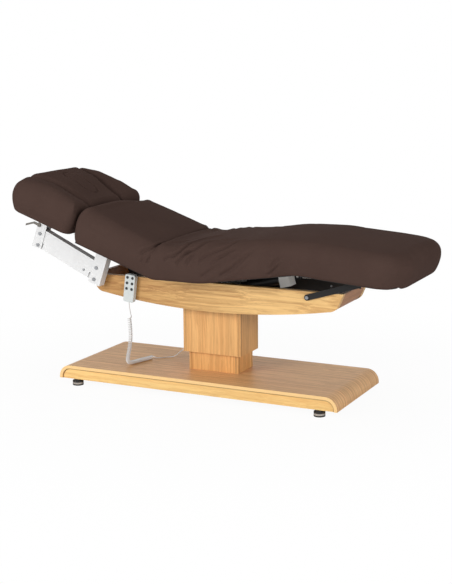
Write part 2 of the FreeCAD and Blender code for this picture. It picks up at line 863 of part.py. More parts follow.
def make_back():
    node(block("back_board", S.board_setback - S.back_length, -S.hinge_clear, -BOARD_HALF, BOARD_HALF,
               0, S.board_thickness, BACK))
    parts = [sleeve("back_sleeve", BACK, SLEEVE_HALF)]
    parts += bars("back_bar", BACK, -S.back_bar_length, 0, S.frame_bar_y)
    crank = (S.hip_x, S.bed_z, S.back_angle - S.crank_lead_angle)
    slot_in = S.crank_radius - S.crank_slot_in
    slot_out = S.crank_radius + S.crank_slot_out
    half = S.crank_ear_width / 2
    slots = []
    for index, side in enumerate((-1, 1)):
        first = S.actuator_y + side * S.clevis_gap / 2
        second = first + side * S.clevis_plate
        low, high = (second, first) if side < 0 else (first, second)
        parts.append(block(f"crank_ear_{index}", -half, half, low, high,
                           -slot_out - S.sleeve_wall, 0, crank))
        slots.append(block(f"crank_slot_{index}", -S.crank_slot_width / 2, S.crank_slot_width / 2,
                           low - OVERSHOOT, high + OVERSHOOT, -slot_out, -slot_in, crank))
    bore = sleeve_bore("back_bore", BACK, S.shaft_diameter, SLEEVE_HALF)
    node(cut("back_crank_frame", join("back_crank_blank", parts), slots + [bore]))


def make_thigh():
    node(block("thigh_board", S.hinge_clear, S.thigh_length - S.hinge_clear, -BOARD_HALF, BOARD_HALF,
               0, S.board_thickness, THIGH))
    parts = [sleeve("thigh_sleeve", THIGH, SLEEVE_HALF)]
    parts += bars("thigh_bar", THIGH, 0, S.thigh_length, S.frame_bar_y)
    ring = S.knee_ring
    holes = []
    y_in = S.frame_bar_y + S.frame_bar_width / 2 - S.ear_thickness
    y_out = S.frame_bar_y + S.frame_bar_width / 2
    trims = []
    for name, low, high in (("near", -y_out, -y_in), ("far", y_in, y_out)):
        parts.append(pin_across("knee_ring_" + name, S.thigh_length, 0, ring, low, high, THIGH))
        holes.append(bore_across("knee_hole_" + name, S.thigh_length, 0, S.knee_shaft_diameter,
                                 low, high, THIGH))
    inner = y_in
    trims.append(block("knee_room", S.thigh_length - ring, S.thigh_length + ring, -inner, inner,
                       -ring, ring, THIGH))
    for index, side in enumerate((-1, 1)):
        first = -S.actuator_y + side * S.clevis_gap / 2
        second = first + side * S.clevis_plate
        low, high = (second, first) if side < 0 else (first, second)
        x = S.leg_clevis_along
        half = S.eye_diameter / 2
        parts.append(block(f"leg_clevis_{index}", x - half, x + half, low, high,
                           -S.leg_clevis_drop - half, 0, THIGH))
        holes.append(bore_across(f"leg_clevis_hole_{index}", x, -S.leg_clevis_drop,
                                S.actuator_pin + 2 * S.leg_clevis_play, low, high, THIGH))
    x = S.leg_clevis_along
    half = S.eye_diameter / 2
    parts.append(block("leg_clevis_tie", x - half, x + half, -S.frame_bar_y, S.frame_bar_y,
                       -S.frame_bar, 0, THIGH))
    bore = sleeve_bore("thigh_bore", THIGH, S.shaft_diameter, SLEEVE_HALF)
    node(cut("thigh_frame", join("thigh_frame_blank", parts), holes + trims + [bore]))
    node(pin_across("knee_shaft", S.thigh_length, 0, S.knee_shaft_diameter, -y_out, y_out, THIGH))


def make_leg():
    board_end = S.leg_length - S.leg_board_setback
    corner = S.foot_corner_radius - S.leg_board_setback
    node(prism("leg_board", "XY", [
        (S.hinge_clear, -BOARD_HALF), (board_end - corner, -BOARD_HALF),
        (board_end, corner - BOARD_HALF, corner), (board_end, BOARD_HALF - corner),
        (board_end - corner, BOARD_HALF, corner), (S.hinge_clear, BOARD_HALF),
    ], 0, S.board_thickness, LEG))
    y_out = S.frame_bar_y + S.frame_bar_width / 2
    half_sleeve = y_out - S.ear_thickness - S.bore_gap
    outer = S.knee_shaft_diameter + S.bore_gap * 2 + S.sleeve_wall * 2
    parts = [pin_across("knee_sleeve", 0, 0, outer, -half_sleeve, half_sleeve, LEG)]
    parts += bars("leg_bar", LEG, 0, S.leg_bar_length, S.leg_bar_y)
    bore = sleeve_bore("knee_bore", LEG, S.knee_shaft_diameter, half_sleeve)
    steel = cut("leg_knee_frame", join("leg_frame_blank", parts), [bore])

    ear_in = RAIL_OUT + S.leg_link_gap * 2 + S.leg_link_thickness
    ear_out = ear_in + S.leg_ear_thickness
    x = S.leg_link_along
    half = S.leg_ear_width / 2

    def link_ear(name, span):
        plate = block(name + "_plate", x - half, x + half, *span(ear_in, ear_out),
                      -S.leg_link_drop - S.leg_link_bolt, 0, LEG)
        pin = pin_across(name + "_pin", x, -S.leg_link_drop, S.leg_link_bolt,
                         *span(RAIL_OUT + S.leg_link_gap, ear_out), LEG)
        return join(name, [plate, pin])

    node(group("leg_frame", [steel, pair("leg_link_ears", link_ear)]))
    ear_x, ear_z = in_frame(LEG, x, -S.leg_link_drop)
    run = ear_x - S.link_pivot_x
    climb = ear_z - S.link_pivot_z
    frame = (S.link_pivot_x, S.link_pivot_z, -heading(run, climb))
    length = hypot(run, climb)
    radius = S.leg_link_width / 2

    def link(name, span):
        low, high = span(RAIL_OUT + S.leg_link_gap, RAIL_OUT + S.leg_link_gap + S.leg_link_thickness)
        bar = stadium(name + "_bar", length, radius, low, high, frame)
        pivot = bore_across(name + "_pivot", 0, 0, S.leg_link_bolt + 2 * S.bore_gap, low, high, frame)
        far = bore_across(name + "_far", length, 0, S.leg_link_bolt + 2 * S.leg_link_play, low, high, frame)
        return cut(name, bar, [pivot, far])

    node(pair("leg_links", link))

    def link_bolt(name, span):
        shank = pin_across(name + "_shank", S.link_pivot_x, S.link_pivot_z, S.leg_link_bolt,
                           *span(RAIL_IN, ear_in))
        under_head = ear_in - S.leg_link_gap
        head = pin_across(name + "_head", S.link_pivot_x, S.link_pivot_z, S.leg_link_head,
                          *span(under_head + S.bore_gap, under_head + S.leg_link_head_height))
        return join(name, [shank, head])

    node(pair("leg_link_bolts", link_bolt))


def stadium(label, length, radius, y_low, y_high, frame):
    """A flat bar with round ends, from its first pivot to its second."""
    bar = block(label + "_middle", 0, length, y_low, y_high, -radius, radius, frame)
    first = pin_across(label + "_first", 0, 0, radius * 2, y_low, y_high, frame)
    last = pin_across(label + "_last", length, 0, radius * 2, y_low, y_high, frame)
    return join(label, [bar, first, last])


# Headrest with its parallel arms
def make_head():
    seam = -(S.back_length + S.head_gap)
    far = seam - S.head_length
    node(block("head_board", far + S.board_setback, seam - S.board_setback, S.hinge_clear - BOARD_HALF,
               BOARD_HALF - S.hinge_clear, S.head_rise, S.head_rise + S.board_thickness, BACK))
    y_out = S.arm_outer_y
    y_in = S.arm_outer_y - S.arm_depth
    sheet_y = S.arm_sheet
    first = (-S.arm_pivot_along, -S.arm_pivot_drop)
    second = (-S.arm_pivot_along + S.arm_pivot_shift, -S.arm_pivot_drop - S.arm_pivot_spacing)
    reach = (-S.arm_reach, S.arm_rise)

    def moved(point):
        return point[0] + reach[0], point[1] + reach[1]

    def channel(name, span, low_x, high_x, top_z, bottom_z, web_at_high, pivots, flange_y):
        """A folded bracket: two cheeks, a web along one edge and a flange under the board."""
        cheeks = [
            block(name + "_outer", low_x, high_x, *span(y_out - sheet_y, y_out), bottom_z, top_z, BACK),
            block(name + "_inner", low_x, high_x, *span(y_in, y_in + sheet_y), bottom_z, top_z, BACK),
        ]
        web_low = high_x - sheet_y if web_at_high else low_x
        web_high = high_x if web_at_high else low_x + sheet_y
        web = block(name + "_web", web_low, web_high, *span(y_in, y_out), bottom_z, top_z, BACK)
        flange = block(name + "_flange", low_x, high_x, *span(flange_y, y_out), top_z - sheet_y, top_z, BACK)
        holes = [
            bore_across(f"{name}_hole_{index}", x, z, S.arm_bolt_diameter, *span(y_in, y_out), BACK)
            for index, (x, z) in enumerate(pivots)
        ]
        return cut(name, join(name + "_blank", cheeks + [web, flange]), holes)

    low = second[1] - S.arm_bracket_below
    high_x = -S.arm_pivot_along + S.arm_bracket_tail
    node(pair("back_arm_brackets", lambda name, span: channel(
        name, span, high_x - S.arm_bracket_width, high_x, dim(0), low, True, [first, second],
        y_in - S.arm_depth)))
    third = moved(first)
    fourth = moved(second)
    low = fourth[1] - S.head_bracket_below
    low_x = third[0] - S.head_bracket_tail
    lever_z = S.head_rise - S.lever_pivot_below
    lever_x = low_x + S.lever_hub_diameter / 2

    def head_bracket(name, span):
        bracket = channel(name + "_plain", span, low_x, low_x + S.head_bracket_width, S.head_rise, low, False,
                          [third, fourth], y_in - S.arm_depth)
        hole = bore_across(name + "_lever_hole", lever_x, lever_z, S.lever_pin_diameter + S.bore_gap * 2,
                           *span(y_out - sheet_y, y_out), BACK)
        return cut(name, bracket, [hole])

    node(pair("head_arm_brackets", head_bracket))

    def bolts(label, pivots):
        def make(name, span):
            pieces = []
            for index, (x, z) in enumerate(pivots):
                shank = pin_across(f"{name}_shank_{index}", x, z, S.arm_bolt_diameter,
                                   *span(y_in, y_out), BACK)
                head = pin_across(f"{name}_head_{index}", x, z, S.arm_bolt_head,
                                  *span(y_out, y_out + S.arm_bolt_head_height), BACK)
                pieces.append(join(f"{name}_{index}", [shank, head]))
            return group(name, pieces)
        return node(pair(label, make))

    bolts("back_arm_bolts", [first, second])
    bolts("head_arm_bolts", [third, fourth])

    length = hypot(S.arm_reach, S.arm_rise)
    tilt = S.back_angle + heading(S.arm_reach, S.arm_rise)
    radius = S.link_width / 2
    hole = S.arm_bolt_diameter + S.bore_gap * 2

    def links(label, pivot, inset):
        frame = (*in_frame(BACK, *pivot), tilt)

        def make(name, span):
            low, high = span(y_out - inset - S.link_thickness, y_out - inset)
            bar = stadium(name + "_bar", -length, radius, low, high, frame)
            bores = [bore_across(f"{name}_bore_{index}", x, 0, hole, low, high, frame)
                     for index, x in enumerate((dim(0), -length))]
            return cut(name, bar, bores)
        return node(pair(label, make))

    links("upper_arm_links", first, S.upper_link_inset)
    links("lower_arm_links", second, S.lower_link_inset)

    frame = (*in_frame(BACK, *first), tilt)

    def cover(name, span):
        outer = y_out - sheet_y - S.arm_cover_gap
        inner = y_in + sheet_y + S.arm_cover_gap
        left = S.arm_cover_end - length
        right = -S.arm_cover_start
        skin = S.arm_cover_sheet
        notch_left = left + S.arm_cover_notch_head
        notch_right = right - S.arm_cover_notch_back
        cheek = [
            (notch_left, -S.arm_cover_below), (notch_right, -S.arm_cover_below),
            (notch_right, -S.arm_cover_notch), (right, -S.arm_cover_notch),
            (right, S.arm_cover_above), (left, S.arm_cover_above),
            (left, -S.arm_cover_notch), (notch_left, -S.arm_cover_notch),
        ]
        shell = [
            prism(name + "_front", "XZ", cheek, *span(outer - skin, outer), frame),
            prism(name + "_rear", "XZ", cheek, *span(inner, inner + skin), frame),
            block(name + "_top", left, right, *span(inner, outer),
                  S.arm_cover_above - skin, S.arm_cover_above, frame),
            block(name + "_stay", -length / 2 - radius, -length / 2 + radius,
                  *span(inner, y_out - S.upper_link_inset - S.link_thickness),
                  -radius / 2, radius / 2, frame),
        ]
        return join(name, shell)

    node(pair("arm_covers", cover))

    hub = S.lever_hub_diameter
    lever_low = y_out + S.bore_gap
    lever_high = lever_low + S.lever_thickness
    pieces = [
        pin_across("lever_hub", lever_x, lever_z, hub, -lever_high, -lever_low, BACK),
        pin_across("lever_pin", lever_x, lever_z, S.lever_pin_diameter, -lever_low, sheet_y - y_out, BACK),
        prism("lever_bar", "XZ", [
            (lever_x, lever_z - S.lever_width / 2),
            (lever_x, lever_z + S.lever_width / 2),
            (lever_x - S.lever_along, lever_z + S.lever_width / 2),
            (lever_x - S.lever_along - S.lever_bend, lever_z + S.lever_width / 2 - S.lever_drop),
            (lever_x - S.lever_along - S.lever_bend, lever_z - S.lever_width / 2 - S.lever_drop),
            (lever_x - S.lever_along, lever_z - S.lever_width / 2),
        ], -lever_high, -lever_low, BACK),
    ]
    node(join("release_lever", pieces))


# Actuators
def make_back_actuator():
    y = S.actuator_y
    z = S.bed_z - S.crank_radius
    eye_x = S.hip_x + S.back_rod_shift
    half_eye = S.actuator_eye / 2
    radius = S.rod_diameter / 2
    reach = S.clevis_gap / 2 + S.clevis_plate
    eye = pin_across("back_rod_eye", eye_x, z, S.eye_diameter, y - half_eye, y + half_eye)
    pin = pin_across("back_rod_pin", eye_x, z, S.actuator_pin, y - reach, y + reach)
    neck = block("back_rod_neck", eye_x, eye_x + S.eye_diameter, y - half_eye, y + half_eye,
                 z - radius, z + radius)
    start = eye_x + S.back_barrel_start
    end = start + S.back_barrel_length
    rod = prism("back_rod_bar", "YZ", circle(y, z, S.rod_diameter), eye_x + S.eye_diameter,
                eye_x + S.back_rod_length)
    node(join("back_actuator_rod", [eye, pin, neck, rod]))
    barrel = prism("back_barrel_tube", "YZ", circle(y, z, S.barrel_diameter), start, end)
    motor = block("back_motor", end - S.motor_length, end, y - S.motor_width / 2, y + S.motor_width / 2,
                  z - S.barrel_diameter / 2, z - S.barrel_diameter / 2 + S.back_motor_height)
    bore = prism("back_barrel_bore", "YZ", circle(y, z, S.rod_diameter + 2 * S.rod_slide_gap),
                 start - OVERSHOOT, end - S.motor_length)
    node(cut("back_actuator_barrel", join("back_barrel_blank", [barrel, motor]), [bore]))
    foot = block("back_actuator_foot", end - S.motor_length, end, y - S.mount_width / 2,
                 y + S.mount_width / 2, PLATE_TOP, z - S.barrel_diameter / 2)
    x = THIGH_X
    pivot_z = S.bed_z - S.leg_actuator_drop
    half = S.eye_diameter / 2
    ears = []
    reach_in = S.clevis_gap / 2
    for index, side in enumerate((-1, 1)):
        first = -S.actuator_y + side * reach_in
        second = first + side * S.clevis_plate
        low, high = (second, first) if side < 0 else (first, second)
        ears.append(block(f"leg_mount_ear_{index}", x - half, x + half, low, high, PLATE_TOP, pivot_z + half))
    base = block("leg_mount_base", x - half, x + half, -S.actuator_y - reach, reach - S.actuator_y,
                 PLATE_TOP, PLATE_TOP + S.plate_thickness)
    pivot = pin_across("leg_mount_pin", x, pivot_z, S.actuator_pin,
                       -S.actuator_y - reach, reach - S.actuator_y)
    node(group("actuator_mounts", [foot, join("leg_actuator_mount", ears + [base, pivot])]))


def make_leg_actuator():
    y = -S.actuator_y
    pivot_x = THIGH_X
    pivot_z = S.bed_z - S.leg_actuator_drop
    clevis_x, clevis_z = in_frame(THIGH, S.leg_clevis_along, -S.leg_clevis_drop)
    run = clevis_x - pivot_x
    climb = clevis_z - pivot_z
    length = hypot(run, climb)
    frame = (pivot_x, pivot_z, -heading(run, climb))
    half_eye = S.actuator_eye / 2
    eye = pin_across("leg_rod_eye", 0, 0, S.eye_diameter, y - half_eye, y + half_eye, frame)
    neck = block("leg_rod_neck", 0, S.eye_diameter, y - half_eye, y + half_eye,
                 -S.rod_diameter / 2, S.rod_diameter / 2, frame)
    rod = prism("leg_rod_bar", "YZ", circle(y, 0, S.rod_diameter), S.eye_diameter, S.leg_rod_length, frame)
    hole = bore_across("leg_rod_hole", 0, 0, S.actuator_pin + 2 * S.bore_gap,
                       y - half_eye, y + half_eye, frame)
    node(cut("leg_actuator_rod", join("leg_rod_blank", [eye, neck, rod]), [hole]))
    reach = S.clevis_gap / 2 + S.clevis_plate
    tail = length - S.leg_barrel_tail
    barrel = prism("leg_barrel_tube", "YZ", circle(y, 0, S.barrel_diameter), S.leg_barrel_start, tail, frame)
    motor = block("leg_motor", tail - S.motor_length, tail, y - S.motor_width / 2, y + S.motor_width / 2,
                  S.barrel_diameter / 2 - S.leg_motor_height, S.barrel_diameter / 2, frame)
    lug = block("leg_barrel_lug", tail, length, y - half_eye, y + half_eye, -S.rod_diameter / 2,
                S.rod_diameter / 2, frame)
    tip = pin_across("leg_barrel_eye", length, 0, S.leg_eye_diameter, y - half_eye, y + half_eye, frame)
    pin = pin_across("leg_barrel_pin", length, 0, S.actuator_pin, y - reach, y + reach, frame)
    bore = prism("leg_barrel_bore", "YZ", circle(y, 0, S.rod_diameter + 2 * S.rod_slide_gap),
                 S.leg_barrel_start - OVERSHOOT, tail - S.motor_length, frame)
    node(cut("leg_actuator_barrel", join("leg_barrel_blank", [barrel, motor, lug, tip, pin]), [bore]))


# Handset
HANDSET = (S.handset_x, S.handset_z, S.handset_tilt)


def make_handset():
    half_x = S.handset_width / 2
    half_z = S.handset_height / 2
    corner = S.handset_corner
    back_y = -RAIL_OUT - S.handset_gap
    front_y = back_y - S.handset_depth
    shell = prism("handset_shell_block", "XZ", [
        (corner - half_x, -half_z, corner), (half_x - corner, -half_z), (half_x, corner - half_z, corner),
        (half_x, half_z - corner), (half_x - corner, half_z, corner), (corner - half_x, half_z),
        (-half_x, half_z - corner, corner), (-half_x, corner - half_z),
    ], front_y, back_y, HANDSET)
    hook_top = S.rail_top_z + S.hook_gap + S.hook_thickness
    hook_x = S.hook_width / 2
    x = S.handset_x
    arm = block("handset_hook_arm", x - hook_x, x + hook_x, back_y - S.hook_thickness,
                S.hook_gap + S.hook_thickness - RAIL_IN, S.rail_top_z + S.hook_gap, hook_top)
    tongue = block("handset_hook_tongue", x - hook_x, x + hook_x, S.hook_gap - RAIL_IN,
                   S.hook_gap + S.hook_thickness - RAIL_IN, hook_top - S.hook_drop, hook_top)
    places = []
    for row in range(3):
        for column in range(2):
            place_x = (column - 0.5) * S.button_spacing_x
            places.append((place_x, half_z - S.button_top - row * S.button_spacing_z))
    wells = [
        pin_across(f"button_well_{index}", u, v, S.button_diameter + 2 * S.button_gap,
                   front_y - OVERSHOOT, front_y + S.button_sink + S.button_travel, HANDSET)
        for index, (u, v) in enumerate(places)
    ]
    node(cut("handset_shell", join("handset_blank", [shell, arm, tongue]), wells))
    names = ("lift_up", "lift_down", "back_up", "back_down", "legs_up", "legs_down")
    for name, (u, v) in zip(names, places):
        low = front_y + S.button_sink - S.button_height
        node(pin_across("button_" + name, u, v, S.button_diameter, low, low + S.button_height, HANDSET))


# Cord
def rounded_path(points, minimum):
    """Straight runs joined by the largest arcs they leave room for, with the radii printed."""
    edges = []
    radii = []
    start = points[0]
    for before, corner, after in zip(points, points[1:], points[2:]):
        inward = (before - corner).normalize()
        outward = (after - corner).normalize()
        turn = math.pi - inward.getAngle(outward)
        shorter = min((before - corner).Length, (after - corner).Length)
        trim = 0.45 * shorter
        radius = trim / math.tan(turn / 2)
        radii.append(radius)
        first = corner + inward * trim
        last = corner + outward * trim
        bisector = (inward + outward).normalize()
        middle = corner + bisector * (math.hypot(radius, trim) - radius)
        edges.append(Part.makeLine(start, first))
        edges.append(Part.Arc(first, middle, last).toShape())
        start = last
    edges.append(Part.makeLine(start, points[-1]))
    print("cord radii", [round(radius) for radius in radii], "least allowed", round(minimum))
    return Part.Wire(edges)


def tube(label, path, diameter):
    start = path.Edges[0].Vertexes[0].Point
    along = path.Edges[0].tangentAt(path.Edges[0].FirstParameter)
    ring = Part.Wire(Part.makeCircle(diameter / 2, start, along))
    solid = path.makePipeShell([ring], True, True)
    expected = math.pi * diameter ** 2 / 4 * path.Length
    print(label, "length", round(path.Length, 1), "volume share", round(solid.Volume / expected, 4))
    piece = doc.addObject("Part::Feature", label)
    piece.Shape = solid
    piece.Label = label
    return node(piece)


def biarc(start, start_way, end, end_way):
    """Two arcs that leave start and reach end along the given ways."""
    chord = end - start
    both = start_way + end_way
    a = 2 * (1 - start_way.dot(end_way))
    b = chord.dot(both) * 2
    c = -chord.dot(chord)
    if abs(a) < 1e-9:
        size = -c / b
    else:
        size = (-b + math.sqrt(b * b - 4 * a * c)) / (2 * a)
    first = start + start_way * size
    last = end - end_way * size
    joint = (first + last) * 0.5
    return [arc_from(start, first, joint), arc_from(joint, last, end)]


def arc_from(start, corner, end):
    """The arc from start to end whose tangents meet at the corner."""
    inward = (start - corner).normalize()
    outward = (end - corner).normalize()
    trim = (start - corner).Length
    half_turn = (math.pi - inward.getAngle(outward)) / 2
    radius = trim / math.tan(half_turn)
    middle = corner + (inward + outward).normalize() * (math.hypot(radius, trim) - radius)
    return Part.Arc(start, middle, end).toShape()


def curly(label, path, wire, outer, pitch):
    """A curled cord: a wire wound round a path, with straight ends."""
    radius = (outer - wire) / 2
    length = path.Length
    quarters = 4 * round(length / pitch) - 1
    turns = quarters / 4
    samples = path.discretize(Number=quarters * 4 + 1)
    axis = samples[::4]
    ways = []
    for index, point in enumerate(axis):
        ahead = samples[min(index * 4 + 1, len(samples) - 1)]
        behind = samples[max(index * 4 - 1, 0)]
        ways.append((ahead - behind).normalize())
    across = Vector(1, 0, 0)
    spine = []
    for index, (point, way) in enumerate(zip(axis, ways)):
        across = (across - way * across.dot(way)).normalize()
        other = way.cross(across)
        angle = index * math.pi / 2
        out = across * math.cos(angle) + other * math.sin(angle)
        turn_way = (other * math.cos(angle) - across * math.sin(angle)) * (2 * math.pi * radius)
        step = way * (length / turns)
        spine.append((point + out * radius, (turn_way + step).normalize()))
    edges = [Part.makeLine(spine[0][0] - spine[0][1] * wire, spine[0][0])]
    for (start, start_way), (end, end_way) in zip(spine, spine[1:]):
        edges += biarc(start, start_way, end, end_way)
    edges.append(Part.makeLine(spine[-1][0], spine[-1][0] + spine[-1][1] * wire))
    wound = Part.Wire(edges)
    points = wound.discretize(Distance=wire / 3)
    skip = int(wire * 2.5 / (wire / 3))
    least = min(
        (one - other).Length
        for index, one in enumerate(points)
        for other in points[index + skip:index + skip + int(2.2 * math.pi * radius * 2 / (wire / 3))]
    )
    print(label, "turns", turns, "wire length", round(wound.Length), "least gap", round(least - wire, 2))
    for name, (point, way) in (("starts", spine[0]), ("ends", spine[-1])):
        reach = wire if name == "ends" else -wire
        face = point + way * reach
        heading_words = [round(number, 3) for number in way]
        print(label, name, [round(number, 2) for number in face], "heading", heading_words)
    return tube(label, wound, wire)


LEAD_POINTS = [(-405, -173, 411.3), (-407.3, -171, 392), (-407.8, -163, 372), (-407.1, -160.2, 351.5),
               (-407.1, -168.7, 341.7), (-406.9, -181.2, 339.5)]
CURL_POINTS = [(-414, -186, 338), (-411, -185, 304), (-408, -183, 268), (-408, -182, 232), (-411, -182, 197),
               (-417, -182, 164), (-425, -179, 134), (-432, -160, 112), (-431, -128, 105), (-423, -96, 104.8),
               (-414, -64, 104.8), (-404, -32, 104.8), (-395, 0, 104.8)]
BASE_LEAD_POINTS = [(-389, -1, 110.9), (-375.5, -2.7, 107.9), (-364.5, 7, 103.5), (-359, 24, 100),
                    (-353, 43, 98), (-341, 59, 97.4), (-324, 69, 98.2), (-305, 70, 104), (-286, 64, 116),
                    (-266, 55, 133), (-243, 47, 150.5), (-216, 41.5, 162), (-188, 40, 165), (-159, 40, 165)]


def make_cord():
    wire = S.cord_diameter.value
    for label, points in (("handset_lead", LEAD_POINTS), ("base_lead", BASE_LEAD_POINTS)):
        path = rounded_path([Vector(*point) for point in points], wire * 3)
        tube(label, path, wire)
    path = rounded_path([Vector(*point) for point in CURL_POINTS], S.curl_diameter.value)
    curly("curly_cord", path, wire, S.curl_diameter.value, S.curl_pitch.value)


make_base()
make_column()
make_tray()
make_back()
make_thigh()
make_leg()
make_head()
make_pads()
make_head_pads()
make_back_actuator()
make_leg_actuator()
make_handset()
make_cord()
doc.recompute()

for thing in doc.Objects:
    if "Invalid" in thing.State or "Error" in thing.State:
        raise RuntimeError(f"{thing.Label} failed: {thing.State}")
for piece in NODES:
    if piece.Shape.isNull() or not piece.Shape.isValid():
        raise RuntimeError(f"{piece.Label} has no valid shape")

os.makedirs("parts", exist_ok=True)
whole = FreeCAD.BoundBox()
for piece in NODES:
    piece.Shape.exportStep(os.path.join("parts", piece.Label + ".step"))
    whole.add(piece.Shape.BoundBox)
print("pieces", len(NODES))
print("X", round(whole.XMin, 1), round(whole.XMax, 1), "Y", round(whole.YMin, 1), round(whole.YMax, 1),
      "Z", round(whole.ZMin, 1), round(whole.ZMax, 1))
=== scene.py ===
"""Looks of the spa bed: leatherette mattress and headrest, pale veneer, steel, handset and cords.

Metres, in the part's own frame: X from head to foot, Y across, Z up, origin on the floor.
"""
import json
import math

import bmesh
import bpy
import numpy as np
from mathutils import Matrix, Vector


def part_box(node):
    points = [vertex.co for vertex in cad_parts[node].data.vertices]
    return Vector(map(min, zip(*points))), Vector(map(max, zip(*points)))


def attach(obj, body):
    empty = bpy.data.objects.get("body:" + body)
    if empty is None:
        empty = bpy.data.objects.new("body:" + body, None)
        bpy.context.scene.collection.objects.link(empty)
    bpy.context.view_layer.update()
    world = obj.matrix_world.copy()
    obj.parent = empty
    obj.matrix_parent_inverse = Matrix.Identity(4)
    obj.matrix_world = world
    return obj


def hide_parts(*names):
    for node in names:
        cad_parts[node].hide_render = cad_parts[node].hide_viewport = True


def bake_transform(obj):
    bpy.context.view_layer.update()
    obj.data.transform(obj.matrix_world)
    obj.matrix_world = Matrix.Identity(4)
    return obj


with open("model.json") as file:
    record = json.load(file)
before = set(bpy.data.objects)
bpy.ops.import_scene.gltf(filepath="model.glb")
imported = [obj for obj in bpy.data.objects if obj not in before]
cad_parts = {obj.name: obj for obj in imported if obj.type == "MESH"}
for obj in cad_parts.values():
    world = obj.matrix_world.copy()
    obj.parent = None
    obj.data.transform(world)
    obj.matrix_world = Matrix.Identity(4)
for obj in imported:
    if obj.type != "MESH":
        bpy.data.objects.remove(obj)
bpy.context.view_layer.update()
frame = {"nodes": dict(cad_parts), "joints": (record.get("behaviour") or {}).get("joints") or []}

JOINTS = {joint["name"]: joint for joint in frame["joints"]}
MM = 0.001

# Camera of the photograph: angles in degrees, lens in millimetres
VIEW_AZIMUTH = 26.15
VIEW_ELEVATION = 11.217
VIEW_ROLL = -0.403
VIEW_DISTANCE = 5.9837
VIEW_TARGET = Vector((0.0027, 0.0193, 0.4584))
VIEW_LENS = 78.29

# Studio: lamps as (name, place, width, watts), and the strength of the light from all round
WHITE = (1, 1, 1, 1)
LAMPS = [
    ("key", (-2.6, -4.6, 2.2), 2.6, 158),
    ("fill", (3.8, -2.4, 1.6), 2.4, 74),
    ("top", (0.0, 0.4, 4.2), 3.0, 24),
]
LAMP_AIM = Vector((0, 0, 0.5))
SKY_STRENGTH = 0.34
FLOOR_SIZE = 30

# Satin lacquer on the veneers
LACQUER = {"Coat_Weight": 0.12, "Coat_Roughness": 0.3, "Specular_IOR_Level": 0.3}

# Cord sizes and the points of their routes, in millimetres
WIRE = 4.6
CURL_OUTSIDE = 19.0
CURL_TURNS = 60.75
CURL_STEPS = 20
CURL_STRETCH = 0.38
HANDSET_LEAD = [
    (-413, -173, 411.3), (-414.2, -171.5, 392), (-414.4, -166, 372), (-412.6, -162.5, 351.5),
    (-405.5, -168.7, 341.7), (-399.6, -181.2, 339.5),
]
CURL = [
    (-406.5, -186, 338), (-404, -185, 304), (-403, -183, 268), (-405, -182, 232), (-410, -182, 197),
    (-417, -182, 164), (-425, -179, 134), (-432, -160, 112), (-431, -128, 105), (-423, -96, 104.8),
    (-414, -64, 104.8), (-404, -32, 104.8), (-395, 0, 104.8),
]
CURL_START = (-399.4, -181.5, 339.4)
CURL_END = (-389, -1, 110.9)
BASE_LEAD = [
    (-389, -1, 110.9), (-375.5, -2.7, 107.9), (-364.5, 7, 103.5), (-359, 24, 100), (-353, 43, 98),
    (-341, 59, 97.4), (-324, 69, 98.2), (-305, 70, 104), (-286, 64, 116), (-266, 55, 133),
    (-243, 47, 150.5), (-216, 41.5, 162), (-188, 40, 165), (-159, 40, 165),
]

# Mattress, seen unrolled: along from the hip hinge, across, up from the hinges
HIP = Vector(JOINTS["back_recline"]["pos_m"])
SEAT_HINGE = Vector(JOINTS["thigh_raise"]["pos_m"])
KNEE = Vector(JOINTS["knee_bend"]["pos_m"])
SEAT_LENGTH = SEAT_HINGE.x - HIP.x
THIGH_LENGTH = (KNEE - SEAT_HINGE).length
BACK_LENGTH = 0.446
LEG_LENGTH = 0.486
BACK_TILT = math.radians(-19.3)
THIGH_TILT = math.radians(8.5)
LEG_TILT = math.radians(-4.5)
HALF_WIDTH = 0.325
MATTRESS_BASE = -0.002
MATTRESS_TOP = 0.140
MATTRESS_CROWN = 0.012
BEND_REACH = 0.115
FOLD_REACH = 0.05
HEAD_GAP = 0.024
SEAM_FILL = 0.007
FOOT_SWELL = 0.007
MID_HEIGHT = 0.079
HEAD_LENGTH = 0.350
HEAD_BASE = -0.006
HEAD_RISE = 0.022
GROOVE_SEAM = 0.146
GROOVE_FAR = 0.217

# The covers swell a little under pressure, in a short simulation
SWELL_FRAMES = 12
SWELL_CAP = 0.003
COVER_CLOTH = {
    "quality": 5, "mass": 0.3, "use_pressure": True, "uniform_pressure_force": 4.0,
    "tension_stiffness": 15, "compression_stiffness": 15, "shear_stiffness": 5, "bending_stiffness": 0.5,
}

# Height of the mattress over its plain top: (along, rise) in millimetres
RISE = [
    (-480, 20), (-440, 18), (-390, 16), (-250, 17), (-70, 14), (-20, 9), (15, 13), (45, 19),
    (82, 13), (120, 15), (165, 25), (240, 34), (310, 30), (370, 25), (430, 22), (540, 23),
    (610, 18), (670, 8), (720, 4), (800, 6), (900, 6), (1000, 6), (1100, 4), (1230, 0),
]

